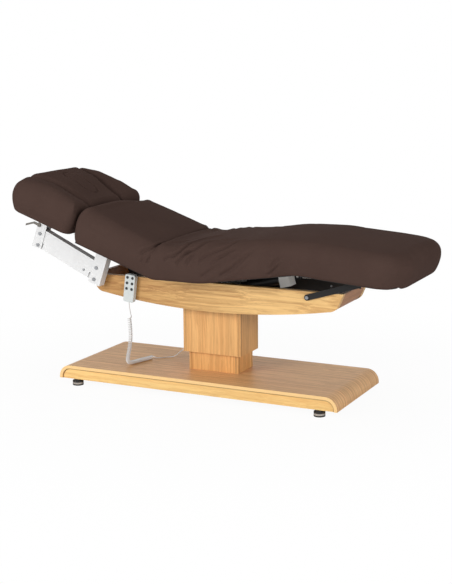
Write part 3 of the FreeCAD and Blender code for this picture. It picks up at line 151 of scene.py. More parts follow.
# Folds of the cover on the near side: (along, up the side and over the top), depth and width in millimetres
FOLDS = [
    ([(-86, 80), (-62, 116), (-30, 165), (-12, 240), (-5, 340), (-2, 470)], 6.5, 15),
    ([(-20, 190), (80, 240), (135, 335), (170, 370)], 3.2, 17),
    ([(92, 104), (155, 135), (200, 220), (235, 335), (320, 385)], 6.5, 15),
    ([(162, 114), (240, 145), (300, 210), (370, 255), (430, 262)], 6.0, 14),
    ([(305, 114), (400, 150), (455, 210), (500, 240)], 4.8, 14),
    ([(-66, 50), (-55, 90), (-38, 116)], 3.4, 11),
    ([(-34, 64), (-18, 116)], 3.4, 11),
    ([(76, 86), (114, 130)], 3.6, 10),
    ([(134, 70), (185, 115), (236, 146)], 4.4, 11),
    ([(188, 76), (262, 138)], 4.2, 11),
    ([(260, 86), (338, 128)], 4.0, 11),
    ([(322, 70), (425, 125), (460, 146)], 4.6, 12),
    ([(256, 24), (345, 60), (430, 96)], 4.0, 14),
    ([(348, 18), (445, 60), (520, 108), (566, 132)], 5.0, 14),
    ([(586, 8), (630, 35), (680, 72)], 5.0, 11),
    ([(602, 38), (650, 75), (680, 98)], 3.8, 11),
]


# Shader sums
def shade(red, green, blue):
    """A screen colour, 0 to 255, as the shader's own numbers."""
    def linear(value):
        value /= 255
        return value / 12.92 if value <= 0.04045 else ((value + 0.055) / 1.055) ** 2.4
    return (linear(red), linear(green), linear(blue), 1.0)


class Signal:
    """A shader socket that takes part in sums."""

    def __init__(self, paint, socket):
        self.paint = paint
        self.socket = socket

    def math(self, operation, *others):
        return self.paint.add("ShaderNodeMath", {"operation": operation}, [self, *others])

    def __add__(self, other):
        return self.math("ADD", other)

    def __sub__(self, other):
        return self.math("SUBTRACT", other)

    def __mul__(self, other):
        return self.math("MULTIPLY", other)

    def __truediv__(self, other):
        return self.math("DIVIDE", other)

    def __rsub__(self, other):
        return self.paint.add("ShaderNodeMath", {"operation": "SUBTRACT"}, [other, self])

    __radd__ = __add__
    __rmul__ = __mul__


class Paint:
    """One material, built from shader sums."""

    def __init__(self, name, **constants):
        self.material = bpy.data.materials.new(name)
        self.material.use_nodes = True
        self.nodes = self.material.node_tree.nodes
        self.links = self.material.node_tree.links
        self.shader = self.nodes["Principled BSDF"]
        for socket, value in constants.items():
            self.shader.inputs[socket.replace("_", " ")].default_value = value

    def add(self, kind, settings=None, inputs=(), out=0):
        """A node with its settings made first, then the values or links of its sockets."""
        node = self.nodes.new(kind)
        for name, value in (settings or {}).items():
            setattr(node, name, value)
        pairs = inputs.items() if isinstance(inputs, dict) else enumerate(inputs)
        for key, value in pairs:
            self.feed(node.inputs[key], value)
        return Signal(self, node.outputs[out])

    def feed(self, socket, value):
        if isinstance(value, Signal):
            self.links.new(value.socket, socket)
        else:
            socket.default_value = value

    def place(self):
        return self.add("ShaderNodeTexCoord", out="Object")

    def axes(self, vector):
        split = self.add("ShaderNodeSeparateXYZ", {}, [vector]).socket.node
        return [Signal(self, socket) for socket in split.outputs]

    def vector(self, x, y, z):
        return self.add("ShaderNodeCombineXYZ", {}, [x, y, z])

    def stretch(self, vector, scale):
        return self.add("ShaderNodeVectorMath", {"operation": "MULTIPLY"}, [vector, scale])

    def length(self, vector):
        return self.add("ShaderNodeVectorMath", {"operation": "LENGTH"}, [vector], out="Value")

    def noise(self, vector, scale, detail=3.0, roughness=0.5):
        inputs = {"Vector": vector, "Scale": scale, "Detail": detail, "Roughness": roughness}
        return self.add("ShaderNodeTexNoise", {}, inputs)

    def cells(self, vector, scale, feature="F1"):
        return self.add("ShaderNodeTexVoronoi", {"feature": feature}, {"Vector": vector, "Scale": scale})

    def step(self, value, low, high):
        settings = {"interpolation_type": "SMOOTHSTEP"}
        return self.add("ShaderNodeMapRange", settings, {"Value": value, "From Min": low, "From Max": high})

    def mix(self, share, first, second):
        """Two colours in shares. The node has its colours in sockets 6 and 7 and its result in 2."""
        inputs = {0: share, 6: first, 7: second}
        return self.add("ShaderNodeMix", {"data_type": "RGBA"}, inputs, out=2)

    def darken(self, colour, share):
        """A colour times a value."""
        return self.stretch(colour, self.vector(share, share, share))

    def bump(self, height, strength, distance):
        inputs = {"Height": height, "Strength": strength, "Distance": distance}
        self.feed(self.shader.inputs["Normal"], self.add("ShaderNodeBump", {}, inputs))

    def set(self, **values):
        for socket, value in values.items():
            self.feed(self.shader.inputs[socket.replace("_", " ")], value)


# Finishes
def leatherette():
    """Dark brown coated cloth: fine pebble grain, matt, with slight shade changes."""
    paint = Paint("leatherette_brown", Specular_IOR_Level=0.004)
    here = paint.place()
    grain = paint.cells(here, scale=620.0, feature="SMOOTH_F1")
    fine = paint.noise(here, scale=1500.0, detail=2.0)
    broad = paint.noise(here, scale=7.0)
    tone = paint.mix(broad, shade(70, 54, 49), shade(79, 62, 56))
    pits = paint.step(grain, low=0.0, high=0.55)
    pit_shade = 0.86 + pits * 0.16
    paint.set(Base_Color=paint.darken(tone, pit_shade), Roughness=0.68 + broad * 0.1 - pits * 0.08)
    paint.bump(grain * 0.8 + fine * 0.3, strength=0.22, distance=0.0006)
    return paint.material


def veneer(name, **wood):
    """Satin lacquered wood with its grain along one axis of the bed."""
    paint = Paint(name, **LACQUER)
    return veneer_on(paint, paint.place(), **wood)


def veneer_on(paint, here, along, light, dark, heart, ring, wave, trim=None):
    """Growth rings, bent round a few knots, with streaks, fibres and pores.

    along is the grain's axis, heart the middle of the rings, ring their width and wave how far they
    wander. trim changes the colour at joints, lippings and along the rails, and paints shade on the rails'
    inside faces and under the base panel.
    """
    axes = dict(zip("XYZ", paint.axes(here)))
    run = axes.pop(along)
    first, second = [axis - middle for axis, middle in zip(axes.values(), heart)]
    lines = paint.vector(run, first, second)

    def figure(vector, lengthwise, sideways, detail, roughness=0.5):
        """Noise drawn out along the grain, in marks per metre each way."""
        drawn = paint.stretch(vector, (lengthwise, sideways, sideways))
        return paint.noise(drawn, 1.0, detail, roughness)

    drift = figure(lines, 2.6, 8.0, detail=2.0)
    ripple = figure(lines, 9.0, 40.0, detail=3.0)
    knot = 1 - paint.step(paint.cells(paint.stretch(lines, (1.9, 8.0, 8.0)), scale=1.0), low=0.0, high=0.34)
    bent = (drift + knot * 0.5) * wave
    spread = paint.length(paint.vector(0.0, first, second))
    late = ((spread + bent + ripple * (ring * 1.3)) / ring).math("FRACT")
    band = paint.step(late, low=0.1, high=0.9) * (1 - paint.step(late, low=0.9, high=1.0))
    warped = paint.vector(run, first + bent, second + bent)
    streak = figure(warped, 1.3, 95.0, detail=4.0, roughness=0.65)
    broad = figure(warped, 1.1, 16.0, detail=2.0)
    fibre = figure(lines, 14.0, 420.0, detail=3.0, roughness=0.6)
    pores = paint.step(figure(lines, 18.0, 760.0, detail=2.0), low=0.56, high=0.7)
    vein = 1 - paint.step((streak - 0.52).math("ABSOLUTE"), low=0.0, high=0.03)
    ring_mark = band * paint.step(broad, low=0.3, high=0.7)
    streak_mark = paint.step(streak, low=0.34, high=0.74)
    depth = ring_mark * 0.28 + streak_mark * 0.48 + fibre * 0.2 + vein * 0.2
    tone = paint.mix((depth - 0.04).math("MINIMUM", 1.0), light, dark)
    pore_shade = 1 - pores * 0.14
    colour = paint.darken(tone, (0.8 + broad * 0.4) * pore_shade)
    if trim is not None:
        colour = trim(paint, colour)
    paint.set(Base_Color=colour, Roughness=0.4 + fibre * 0.14 + pores * 0.1)
    paint.bump(fibre * 0.4 - pores - band * 0.25, strength=0.12, distance=0.0005)
    return paint.material


def rail_tone_and_inner_shade(paint, colour):
    """The rails are deeper in colour towards the head, and their inside faces are painted near-black as
    shade.
    """
    head, middle = -0.6, 0.25
    inner_face = 0.1285
    edge = 0.0008
    x, y, _ = paint.axes(paint.place())
    deep = paint.stretch(colour, (0.70, 0.65, 0.57))
    pale = paint.stretch(colour, (1.10, 1.20, 1.28))
    toned = paint.mix(paint.step(x, head, middle), deep, pale)
    outside = paint.step(y.math("ABSOLUTE"), inner_face, inner_face + edge)
    # painted shade: the rails' inside faces take a near-black colour in place of their shadow
    return paint.mix(outside, shade(30, 25, 22), toned)


def corner_posts(node):
    """Narrow posts with a fine joint line at the four corners of a column cover."""
    low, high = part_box(node)
    post = 0.013
    line_shade, post_shade = 0.6, 0.12

    def trim(paint, colour):
        x, y, _ = paint.axes(paint.place())
        inset_x = (high.x - low.x) / 2 - (x - (low.x + high.x) / 2).math("ABSOLUTE")
        inset_y = high.y - y.math("ABSOLUTE")
        inset = inset_x.math("MAXIMUM", inset_y)
        line = 1 - paint.step((inset - post).math("ABSOLUTE"), 0.0005, 0.0017)
        on_post = 1 - paint.step(inset, post, post + 0.0004)
        return paint.darken(colour, (1 - line * line_shade) * (1 - on_post * post_shade))
    return trim


def panel_depth(paint):
    """Place along the base panel, unrolled over its round ends, and depth under its outer face."""
    low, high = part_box("base_top_panel")
    middle = (low.x + high.x) / 2
    radius = 0.058
    flat_end = (high.x - low.x) / 2 - radius
    bend_level = high.z - radius
    least_rise = 0.0005
    x, _, z = paint.axes(paint.place())
    off = x - middle
    size = off.math("ABSOLUTE")
    past = (size - flat_end).math("MAXIMUM", 0.0)
    rise = (z - bend_level).math("MAXIMUM", least_rise)
    turned_by = past.math("ARCTAN2", rise) * radius
    hang = (bend_level - z).math("MAXIMUM", 0.0) * paint.step(past, low=0.0, high=0.004)
    run = (size.math("MINIMUM", flat_end) + turned_by + hang) * off.math("SIGN")
    depth = radius - (past * past + rise * rise).math("SQRT")
    return run, depth


def panel_gap_shadow(paint, colour):
    """Painted shadow: the side boards darken in the gap under the base panel."""
    panel_under, gap_end = 0.0175, 0.0225
    gap_shade = 0.42
    depth = panel_depth(paint)[1]
    # painted shadow under the panel's overhang, darkest next to the panel
    return paint.darken(colour, gap_shade + paint.step(depth, panel_under, gap_end) * (1 - gap_shade))


def pale_lipping(paint, colour):
    """The base panel's long edges have a pale solid lipping."""
    half_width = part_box("base_top_panel")[1].y
    off = paint.axes(paint.place())[1].math("ABSOLUTE")
    edge = paint.step(off, half_width - 0.0008, half_width - 0.0004)
    return paint.mix(edge, colour, shade(244, 204, 142))


def base_veneer(**wood):
    """Veneer of the base top, whose grain bends down with both round ends."""
    paint = Paint("veneer_base_top", **LACQUER)
    sheet_level = 0.095
    run, depth = panel_depth(paint)
    unrolled = paint.vector(run, paint.axes(paint.place())[1], sheet_level - depth)
    return veneer_on(paint, unrolled, **wood)


def coated_steel(name, colour, rough):
    """Powder coat: fine orange peel and slight handling marks."""
    paint = Paint(name, Specular_IOR_Level=0.3)
    here = paint.place()
    peel = paint.noise(here, scale=700.0, detail=2.0)
    marks = paint.noise(here, scale=24.0, detail=4.0, roughness=0.6)
    tone = paint.darken(colour[:3], 0.95 + marks * 0.1)
    paint.set(Base_Color=tone, Roughness=rough - 0.05 + marks * 0.14)
    paint.bump(peel, strength=0.1, distance=0.0003)
    return paint.material


def bright_metal(name, first, second):
    """Plated steel with faint turning lines."""
    paint = Paint(name, Metallic=1.0)
    here = paint.place()
    spangle = paint.noise(here, scale=90.0)
    lines = paint.noise(paint.stretch(here, (1.0, 6.0, 1.0)), scale=520.0, detail=2.0)
    paint.set(Base_Color=paint.mix(spangle, first, second))
    paint.set(Roughness=0.24 + spangle * 0.16 + lines * 0.08)
    paint.bump(lines, strength=0.08, distance=0.0002)
    return paint.material


def plastic(name, first, second, rough, trim=None):
    """Moulded plastic with a spark-eroded grain. trim changes the colour of a part of it."""
    paint = Paint(name, Specular_IOR_Level=0.45)
    here = paint.place()
    speck = paint.noise(here, scale=900.0, detail=2.0)
    cloud = paint.noise(here, scale=18.0)
    colour = paint.mix(cloud, first, second)
    if trim is not None:
        colour = trim(paint, colour)
    paint.set(Base_Color=colour, Roughness=rough + speck * 0.12)
    paint.bump(speck, strength=0.1, distance=0.0002)
    return paint.material


def tube_painted_shade(paint, colour):
    """The leg motor's tube is painted near-black as shade, in front of its pale gearbox housing."""
    housing_start = 0.3205
    housing = paint.step(paint.axes(paint.place())[0], housing_start, housing_start + 0.001)
    # painted shade: the tube takes a near-black colour, as the shade under the mattress
    return paint.mix(housing, shade(24, 24, 25), colour)


def stained_board():
    """Black stained plywood with a faint grain."""
    paint = Paint("board_black", Specular_IOR_Level=0.35)
    here = paint.place()
    fibre = paint.noise(paint.stretch(here, (10.0, 160.0, 160.0)), scale=1.0)
    paint.set(Base_Color=paint.mix(fibre, shade(22, 20, 19), shade(44, 40, 37)), Roughness=0.6 + fibre * 0.2)
    paint.bump(fibre, strength=0.12, distance=0.0004)
    return paint.material


def foot_finish():
    """Black levelling foot with a plated ring."""
    ring_low, ring_high, edge = 0.0064, 0.0144, 0.0006
    paint = Paint("levelling_foot")
    here = paint.place()
    z = paint.axes(here)[2]
    steel = paint.step(z, ring_low, ring_low + edge) * (1 - paint.step(z, ring_high, ring_high + edge))
    scuff = paint.noise(here, scale=160.0)
    rubber = paint.mix(scuff, shade(24, 22, 20), shade(46, 42, 40))
    paint.set(Base_Color=paint.mix(steel, rubber, shade(190, 186, 182)), Metallic=steel)
    paint.set(Roughness=0.58 - steel * 0.3 + scuff * 0.12)
    paint.bump(scuff, strength=0.12, distance=0.0003)
    return paint.material


def handset_finish():
    """Pale shell in front, dark hook behind."""
    shell_back, hook_front = -0.1607, -0.1603
    paint = Paint("handset_shell_plastic", Specular_IOR_Level=0.45)
    here = paint.place()
    speck = paint.noise(here, scale=1100.0, detail=2.0)
    cloud = paint.noise(here, scale=20.0)
    behind = paint.step(paint.axes(here)[1], shell_back, hook_front)
    pale = paint.mix(cloud, shade(198, 204, 203), shade(212, 216, 215))
    paint.set(Base_Color=paint.mix(behind, pale, shade(34, 34, 35)), Roughness=0.36 + speck * 0.12)
    paint.bump(speck, strength=0.08, distance=0.0002)
    return paint.material


# Studio
def set_camera():
    azimuth = math.radians(VIEW_AZIMUTH)
    elevation = math.radians(VIEW_ELEVATION)
    roll = math.radians(VIEW_ROLL)
    back = Vector((math.sin(azimuth) * math.cos(elevation), -math.cos(azimuth) * math.cos(elevation),
                   math.sin(elevation)))
    right = Vector((math.cos(azimuth), math.sin(azimuth), 0))
    up = back.cross(right)
    across = right * math.cos(roll) + up * math.sin(roll)
    upward = up * math.cos(roll) - right * math.sin(roll)
    data = bpy.data.cameras.new("photo_camera")
    data.lens = VIEW_LENS
    data.clip_end = 100
    camera = bpy.data.objects.new("photo_camera", data)
    bpy.context.scene.collection.objects.link(camera)
    turn = Matrix((across, upward, back)).transposed()
    camera.matrix_world = Matrix.Translation(VIEW_TARGET + back * VIEW_DISTANCE) @ turn.to_4x4()
    bpy.context.scene.camera = camera


def area_light(name, where, size, power):
    data = bpy.data.lights.new(name, "AREA")
    data.shape = "DISK"
    data.size = size
    data.energy = power
    lamp = bpy.data.objects.new(name, data)
    bpy.context.scene.collection.objects.link(lamp)
    lamp.location = where
    lamp.rotation_euler = (LAMP_AIM - Vector(where)).to_track_quat("-Z", "Y").to_euler()


def set_studio():
    """Lamps and a floor before a backdrop that looks white but lights the bed softly."""
    scene = bpy.context.scene
    scene.view_settings.view_transform = "Standard"
    world = bpy.data.worlds.new("studio")
    scene.world = world
    world.use_nodes = True
    nodes = world.node_tree.nodes
    links = world.node_tree.links
    sky = nodes["Background"]
    backdrop = nodes.new("ShaderNodeBackground")
    for light, strength in ((sky, SKY_STRENGTH), (backdrop, 1.0)):
        light.inputs["Color"].default_value = WHITE
        light.inputs["Strength"].default_value = strength
    path = nodes.new("ShaderNodeLightPath")
    seen = path.outputs["Is Camera Ray"]
    for ray in ("Is Glossy Ray", "Is Transmission Ray"):
        either = nodes.new("ShaderNodeMath")
        either.operation = "MAXIMUM"
        links.new(seen, either.inputs[0])
        links.new(path.outputs[ray], either.inputs[1])
        seen = either.outputs[0]
    blend = nodes.new("ShaderNodeMixShader")
    for socket, source in zip(blend.inputs, (seen, sky.outputs[0], backdrop.outputs[0])):
        links.new(source, socket)
    links.new(blend.outputs[0], nodes["World Output"].inputs["Surface"])
    for lamp in LAMPS:
        area_light(*lamp)
    lay_floor()


def lay_floor():
    """A pale floor that takes a faint shadow near the bed and fades into the backdrop."""
    near, away_from = 0.7, 2.2
    glow_near = 0.95
    bpy.ops.object.select_all(action="DESELECT")
    bpy.ops.mesh.primitive_plane_add(size=FLOOR_SIZE)
    floor = bpy.context.object
    floor.name = "floor"
    paint = Paint("floor_pale", Roughness=0.9)
    here = paint.place()
    cloud = paint.noise(here, scale=3.0, detail=2.0)
    paint.set(Base_Color=paint.mix(cloud, (0.9, 0.9, 0.9, 1), (0.94, 0.94, 0.94, 1)))
    share = glow_near + paint.step(paint.length(here), near, away_from) * (1 - glow_near)
    glow = paint.add("ShaderNodeEmission", {}, {"Color": WHITE, "Strength": 1.0})
    seen = paint.add("ShaderNodeLightPath", out="Is Camera Ray")
    plain = Signal(paint, paint.shader.outputs[0])
    mixed = paint.add("ShaderNodeMixShader", {}, [seen * share, plain, glow])
    paint.links.new(mixed.socket, paint.nodes["Material Output"].inputs["Surface"])
    floor.data.materials.append(paint.material)


# Pieces of any kind
def pick(piece):
    """Select one piece alone and make it the active one."""
    bpy.ops.object.select_all(action="DESELECT")
    piece.select_set(True)
    bpy.context.view_layer.objects.active = piece


def dress(piece, finish):
    """Give a piece one finish alone."""
    piece.data.materials.clear()
    piece.data.materials.append(FINISH[finish])


# Cords
def route_curve(name, points):
    """A smooth line that a cord's points steer."""
    data = bpy.data.curves.new(name, "CURVE")
    data.dimensions = "3D"
    data.resolution_u = 8
    spline = data.splines.new("NURBS")
    spline.points.add(len(points) - 1)
    for point, place in zip(spline.points, points):
        point.co = (*place, 1)
    spline.order_u = 3
    spline.use_endpoint_u = True
    thing = bpy.data.objects.new(name, data)
    bpy.context.scene.collection.objects.link(thing)
    return thing


def line_of(curve):
    """Points along a curve that has no thickness."""
    bpy.context.view_layer.update()
    mesh = bpy.data.meshes.new_from_object(curve)
    points = [vertex.co.copy() for vertex in mesh.vertices]
    bpy.data.meshes.remove(mesh)
    return points


def round_cord(name, points, steps):
    """A round cord as a mesh, and the line that it follows."""
    curve = route_curve(name + "_line", points)
    curve.data.resolution_u = steps
    line = line_of(curve)
    curve.data.bevel_depth = WIRE * MM / 2
    curve.data.bevel_resolution = 2
    curve.data.use_fill_caps = True
    pick(curve)
    bpy.ops.object.convert(target="MESH")
    piece = bpy.context.object
    piece.name = name
    bpy.ops.object.shade_smooth()
    dress(piece, "cord_sheath")
    return piece, line


def metres(points):
    return [Vector(point) * MM for point in points]


def spread_steps(line, count, stretch):
    """This many places along a line, wider apart at its start by stretch, with the way on at each."""
    line = np.array([tuple(point) for point in line])
    run = np.concatenate([[0], np.cumsum(np.linalg.norm(np.diff(line, axis=0), axis=1))])
    share = np.linspace(0, 1, count)
    marks = run[-1] * (share + stretch * share * (1 - share))
    places = np.stack([np.interp(marks, run, line[:, axis]) for axis in range(3)], axis=1)
    ways = np.gradient(places, axis=0)
    return places, ways / np.linalg.norm(ways, axis=1)[:, None]


def make_cords():
    lead, line = round_cord("handset_lead_cord", metres(HANDSET_LEAD), 10)
    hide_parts("handset_lead")
    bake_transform(lead)

    route = route_curve("curl_route", metres(CURL))
    middle = line_of(route)
    bpy.data.objects.remove(route)
    places, ways = spread_steps(middle, round(CURL_TURNS * CURL_STEPS) + 1, CURL_STRETCH)
    inside = (1 + math.cos(2 * math.pi / CURL_STEPS)) / 2
    radius = (CURL_OUTSIDE - WIRE) / 2 * MM / inside
    across = np.array([1.0, 0.0, 0.0])
    helix = []
    for index, (place, way) in enumerate(zip(places, ways)):
        across = across - way * (across @ way)
        across /= np.linalg.norm(across)
        other = np.cross(way, across)
        angle = 2 * math.pi * index / CURL_STEPS
        helix.append(Vector(place + radius * (across * math.cos(angle) + other * math.sin(angle))))
    helix = [Vector(CURL_START) * MM, *helix, Vector(CURL_END) * MM]
    curl, curl_line = round_cord("curly_handset_cord", helix, 2)
    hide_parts("curly_cord")
    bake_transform(curl)

    lead, line = round_cord("base_lead_cord", metres(BASE_LEAD), 10)
    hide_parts("base_lead")
    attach(lead, "base")


# Padded pieces
def smooth_step(value, low, high):
    share = np.clip((value - low) / (high - low), 0, 1)
    return share * share * (3 - 2 * share)


def rounded_outline(corners):
    """Plan outline through corners given as (along, across, radius), in turn."""
    steps = 8
    outline = []
    for index, (x, y, radius) in enumerate(corners):
        here = Vector((x, y))
        before = (Vector(corners[index - 1][:2]) - here).normalized()
        after = (Vector(corners[(index + 1) % len(corners)][:2]) - here).normalized()
        half = before.angle(after) / 2
        center = here + (before + after).normalized() * (radius / math.sin(half))
        first = here + before * (radius / math.tan(half)) - center
        last = here + after * (radius / math.tan(half)) - center
        for step in range(steps + 1):
            outline.append(center + first.normalized().slerp(last.normalized(), step / steps) * radius)
    return outline


def raise_block(name, outline, low, high):
    """A plain block with this plan between two heights."""
    bpy.ops.object.select_all(action="DESELECT")
    bpy.ops.mesh.primitive_circle_add(vertices=len(outline), fill_type="NGON")
    block = bpy.context.object
    block.name = name
    for vertex, (x, y) in zip(block.data.vertices, outline):
        vertex.co = (x, y, low)
    bpy.ops.object.mode_set(mode="EDIT")
    bpy.ops.mesh.select_all(action="SELECT")
    bpy.ops.mesh.extrude_region_move(TRANSFORM_OT_translate={"value": (0, 0, high - low)})
    bpy.ops.mesh.select_all(action="SELECT")
    bpy.ops.mesh.normals_make_consistent(inside=False)
    bpy.ops.object.mode_set(mode="OBJECT")
    return block


def apply_modifier(piece, kind, **settings):
    pick(piece)
    modifier = piece.modifiers.new(kind.lower(), kind)
    for name, value in settings.items():
        setattr(modifier, name, value)
    bpy.ops.object.modifier_apply(modifier=modifier.name)


def round_edges(piece, height, width, steps):
    """Bevel the edge loop that lies at one height."""
    level = 1e-5
    pick(piece)
    bpy.ops.object.mode_set(mode="EDIT")
    bpy.ops.mesh.select_mode(type="EDGE")
    bpy.ops.mesh.select_all(action="DESELECT")
    mesh = bmesh.from_edit_mesh(piece.data)
    for edge in mesh.edges:
        edge.select = all(abs(vertex.co.z - height) < level for vertex in edge.verts)
    bmesh.update_edit_mesh(piece.data)
    bpy.ops.mesh.bevel(offset=width, segments=steps, affect="EDGES")
    bpy.ops.object.mode_set(mode="OBJECT")


def read_vertices(vertices, what):
    """One vector property of all vertices, as rows."""
    values = np.zeros(len(vertices) * 3)
    vertices.foreach_get(what, values)
    return values.reshape(-1, 3)


def spots(piece):
    return read_vertices(piece.data.vertices, "co")


def normals(piece):
    return read_vertices(piece.data.vertices, "normal")


def move_to(piece, places):
    piece.data.vertices.foreach_set("co", places.ravel())
    piece.data.update()


def turned(pivot, along, up, angle):
    """Places in the side view, turned about a pivot."""
    x = pivot.x + along * np.cos(angle) - up * np.sin(angle)
    z = pivot.z + along * np.sin(angle) + up * np.cos(angle)
    return x, z


def bend_mattress(flat):
    """From the unrolled mattress to the bed as it stands, bent at its three hinges."""
    along, across, up = flat.T
    knee_at = SEAT_LENGTH + THIGH_LENGTH
    hip_turn = BACK_TILT * (1 - smooth_step(along, -FOLD_REACH, FOLD_REACH))
    seat_turn = THIGH_TILT * smooth_step(along - SEAT_LENGTH, -BEND_REACH, BEND_REACH)
    knee_turn = THIGH_TILT + (LEG_TILT - THIGH_TILT) * smooth_step(along - knee_at, -BEND_REACH, BEND_REACH)
    places = np.empty_like(flat)
    places[:, 1] = across
    mid_seat = SEAT_LENGTH / 2
    mid_thigh = SEAT_LENGTH + THIGH_LENGTH / 2
    parts = [
        (along < mid_seat, HIP, 0.0, hip_turn),
        ((along >= mid_seat) & (along < mid_thigh), SEAT_HINGE, SEAT_LENGTH, seat_turn),
        (along >= mid_thigh, KNEE, knee_at, knee_turn),
    ]
    for which, pivot, start, angle in parts:
        places[which, 0], places[which, 2] = turned(pivot, along[which] - start, up[which], angle[which])
    return places


def height_shares(up, most_below, most_above):
    """How far each place is below mid height, and how far above it, as shares of the way to base and top."""
    below = np.clip((MID_HEIGHT - up) / MID_HEIGHT, 0, most_below)
    above = np.clip((up - MID_HEIGHT) / (MATTRESS_TOP - MID_HEIGHT), 0, most_above)
    return below, above


def side_shape(flat, raise_by):
    """Draw the sides in towards base and top, so that they are round, and crown the top."""
    base_draw, top_draw = 0.019, 0.011
    crown_half_width = 0.31
    _, across, up = flat.T
    below, above = height_shares(up, None, 1.3)
    shaped = flat.copy()
    shaped[:, 1] *= (HALF_WIDTH - base_draw * below ** 2 - top_draw * above ** 2) / HALF_WIDTH
    share = np.clip(up / MATTRESS_TOP, 0, 1)
    crown = MATTRESS_CROWN * np.clip(1 - (across / crown_half_width) ** 2, 0, None)
    shaped[:, 2] += (crown + raise_by) * share ** 2
    return shaped


def end_shape(flat, low_end, high_end, low_tuck, high_tuck):
    """How far the two end faces are drawn in along the bed, most at the base."""
    reach = 0.16
    top_tuck = 0.007
    along, _, up = flat.T
    below, above = height_shares(up, 1, 1.2)
    below = below ** 1.6
    top = top_tuck * above ** 2
    near_low = 1 - smooth_step(along, low_end, low_end + reach)
    near_high = smooth_step(along, high_end - reach, high_end)
    return near_low * (low_tuck * below + top) - near_high * (high_tuck * below + top)


def pillow_drop(rim, radius):
    """How far a top sinks near its open edges, as a round of this radius."""
    near = np.clip(radius - rim, 0, radius)
    return radius - np.sqrt(radius ** 2 - near ** 2)


def distance_to(points, where):
    """Distance from each place to a line of points, and how far along the line that is."""
    best = np.full(len(where), np.inf)
    share = np.zeros(len(where))
    count = len(points) - 1
    for index in range(count):
        first, last = points[index], points[index + 1]
        run = last - first
        t = np.clip(((where - first) @ run) / (run @ run), 0, 1)
        gap = np.linalg.norm(where - (first + t[:, None] * run), axis=1)
        nearer = gap < best
        best[nearer] = gap[nearer]
        share[nearer] = ((index + t) / count)[nearer]
    return best, share


def smooth_line(points, steps=8):
    """A soft curve through a few points."""
    points = np.array(points, float)
    ends = np.vstack([2 * points[0] - points[1], points, 2 * points[-1] - points[-2]])
    line = []
    for index in range(len(points) - 1):
        a, b, c, d = ends[index:index + 4]
        for step in range(steps):
            t = step / steps
            line.append(0.5 * (2 * b + (c - a) * t + (2 * a - 5 * b + 4 * c - d) * t ** 2
                               + (3 * b - a - 3 * c + d) * t ** 3))
    line.append(points[-1])
    return np.array(line)


def fold_depth(flat, side, shift, weight):
    """How far the cover sinks into its folds on one side of the mattress."""
    along, across, up = flat.T
    girth = up + (HALF_WIDTH + side * across)
    where = np.stack([along, girth], axis=1) / MM
    depth = np.zeros(len(flat))
    for points, deep, wide in FOLDS:
        line = smooth_line(points) + np.array([shift, 0])
        reach = 3 * wide
        close = np.all((where > line.min(axis=0) - reach) & (where < line.max(axis=0) + reach), axis=1)
        gap, share = distance_to(line, where[close])
        ends = smooth_step(share, 0.0, 0.12) * (1 - smooth_step(share, 0.5, 1.0))
        narrow = 0.55 * wide
        groove = np.exp(-(gap / narrow) ** 2)
        ridge = 0.45 * np.exp(-((gap - 1.3 * wide) / (1.3 * narrow)) ** 2)
        depth[close] += deep * weight * (groove - ridge) * ends
    return depth * MM


def cut_piece(source, name, cuts):
    """The stretch of the mattress on the kept side of each cut plane, closed at the cuts."""
    piece = source.copy()
    piece.data = source.data.copy()
    piece.name = name
    bpy.context.scene.collection.objects.link(piece)
    pick(piece)
    bpy.ops.object.mode_set(mode="EDIT")
    for place, way in cuts:
        bpy.ops.mesh.select_all(action="SELECT")
        bpy.ops.mesh.bisect(plane_co=place, plane_no=way, use_fill=True, clear_outer=True)
    bpy.ops.object.mode_set(mode="OBJECT")
    bpy.ops.object.shade_smooth_by_angle(angle=math.radians(60))
    return piece


def settle_cloth(piece, flat):
    """Let a cover swell over its filling, held close to its cut shape and fixed along its base."""
    fixed, loose = 0.015, 0.07
    before = spots(piece)
    free = smooth_step(flat[:, 2], fixed, loose)
    cloth = piece.modifiers.new("cover", "CLOTH")
    for name, value in COVER_CLOTH.items():
        setattr(cloth.settings, name, value)
    cloth.settings.effector_weights.gravity = 0
    scene = bpy.context.scene
    for number in range(1, SWELL_FRAMES + 1):
        scene.frame_set(number)
    evaluated = piece.evaluated_get(bpy.context.evaluated_depsgraph_get())
    after = read_vertices(evaluated.data.vertices, "co")
    piece.modifiers.remove(cloth)
    scene.frame_set(1)
    moved = after - before
    size = np.linalg.norm(moved, axis=1)[:, None]
    held = np.minimum(1, SWELL_CAP / np.maximum(size, 1e-9))
    move_to(piece, before + moved * held * free[:, None])


def finish_pad(piece, *nodes):
    dress(piece, "leatherette")
    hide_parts(*nodes)


def mattress_top(along, across, start):
    """How far the mattress's top stands over its plain height.

    Its head end has a lip, least on the far side.
    """
    rises = smooth_line(RISE) * MM
    short_lip = 0.020 * (1 - smooth_step(along, start, start + 0.08))
    long_lip = 0.015 * (1 - smooth_step(along, start, start + 0.26))
    lip = (short_lip + long_lip) * (1 - smooth_step(across, -0.08, 0.27))
    return np.interp(along, rises[:, 0], rises[:, 1]) + lip


def hollow_under(along, across, up, start, end):
    """How far the underside is hollowed inside its rim, to clear the boards."""
    depth = 0.012
    half_width = 0.304
    rim = np.minimum.reduce([half_width - np.abs(across), along - start, end - along])
    return depth * (smooth_step(rim, 0.018, 0.030) * (1 - smooth_step(up, 0.0, 0.012)))


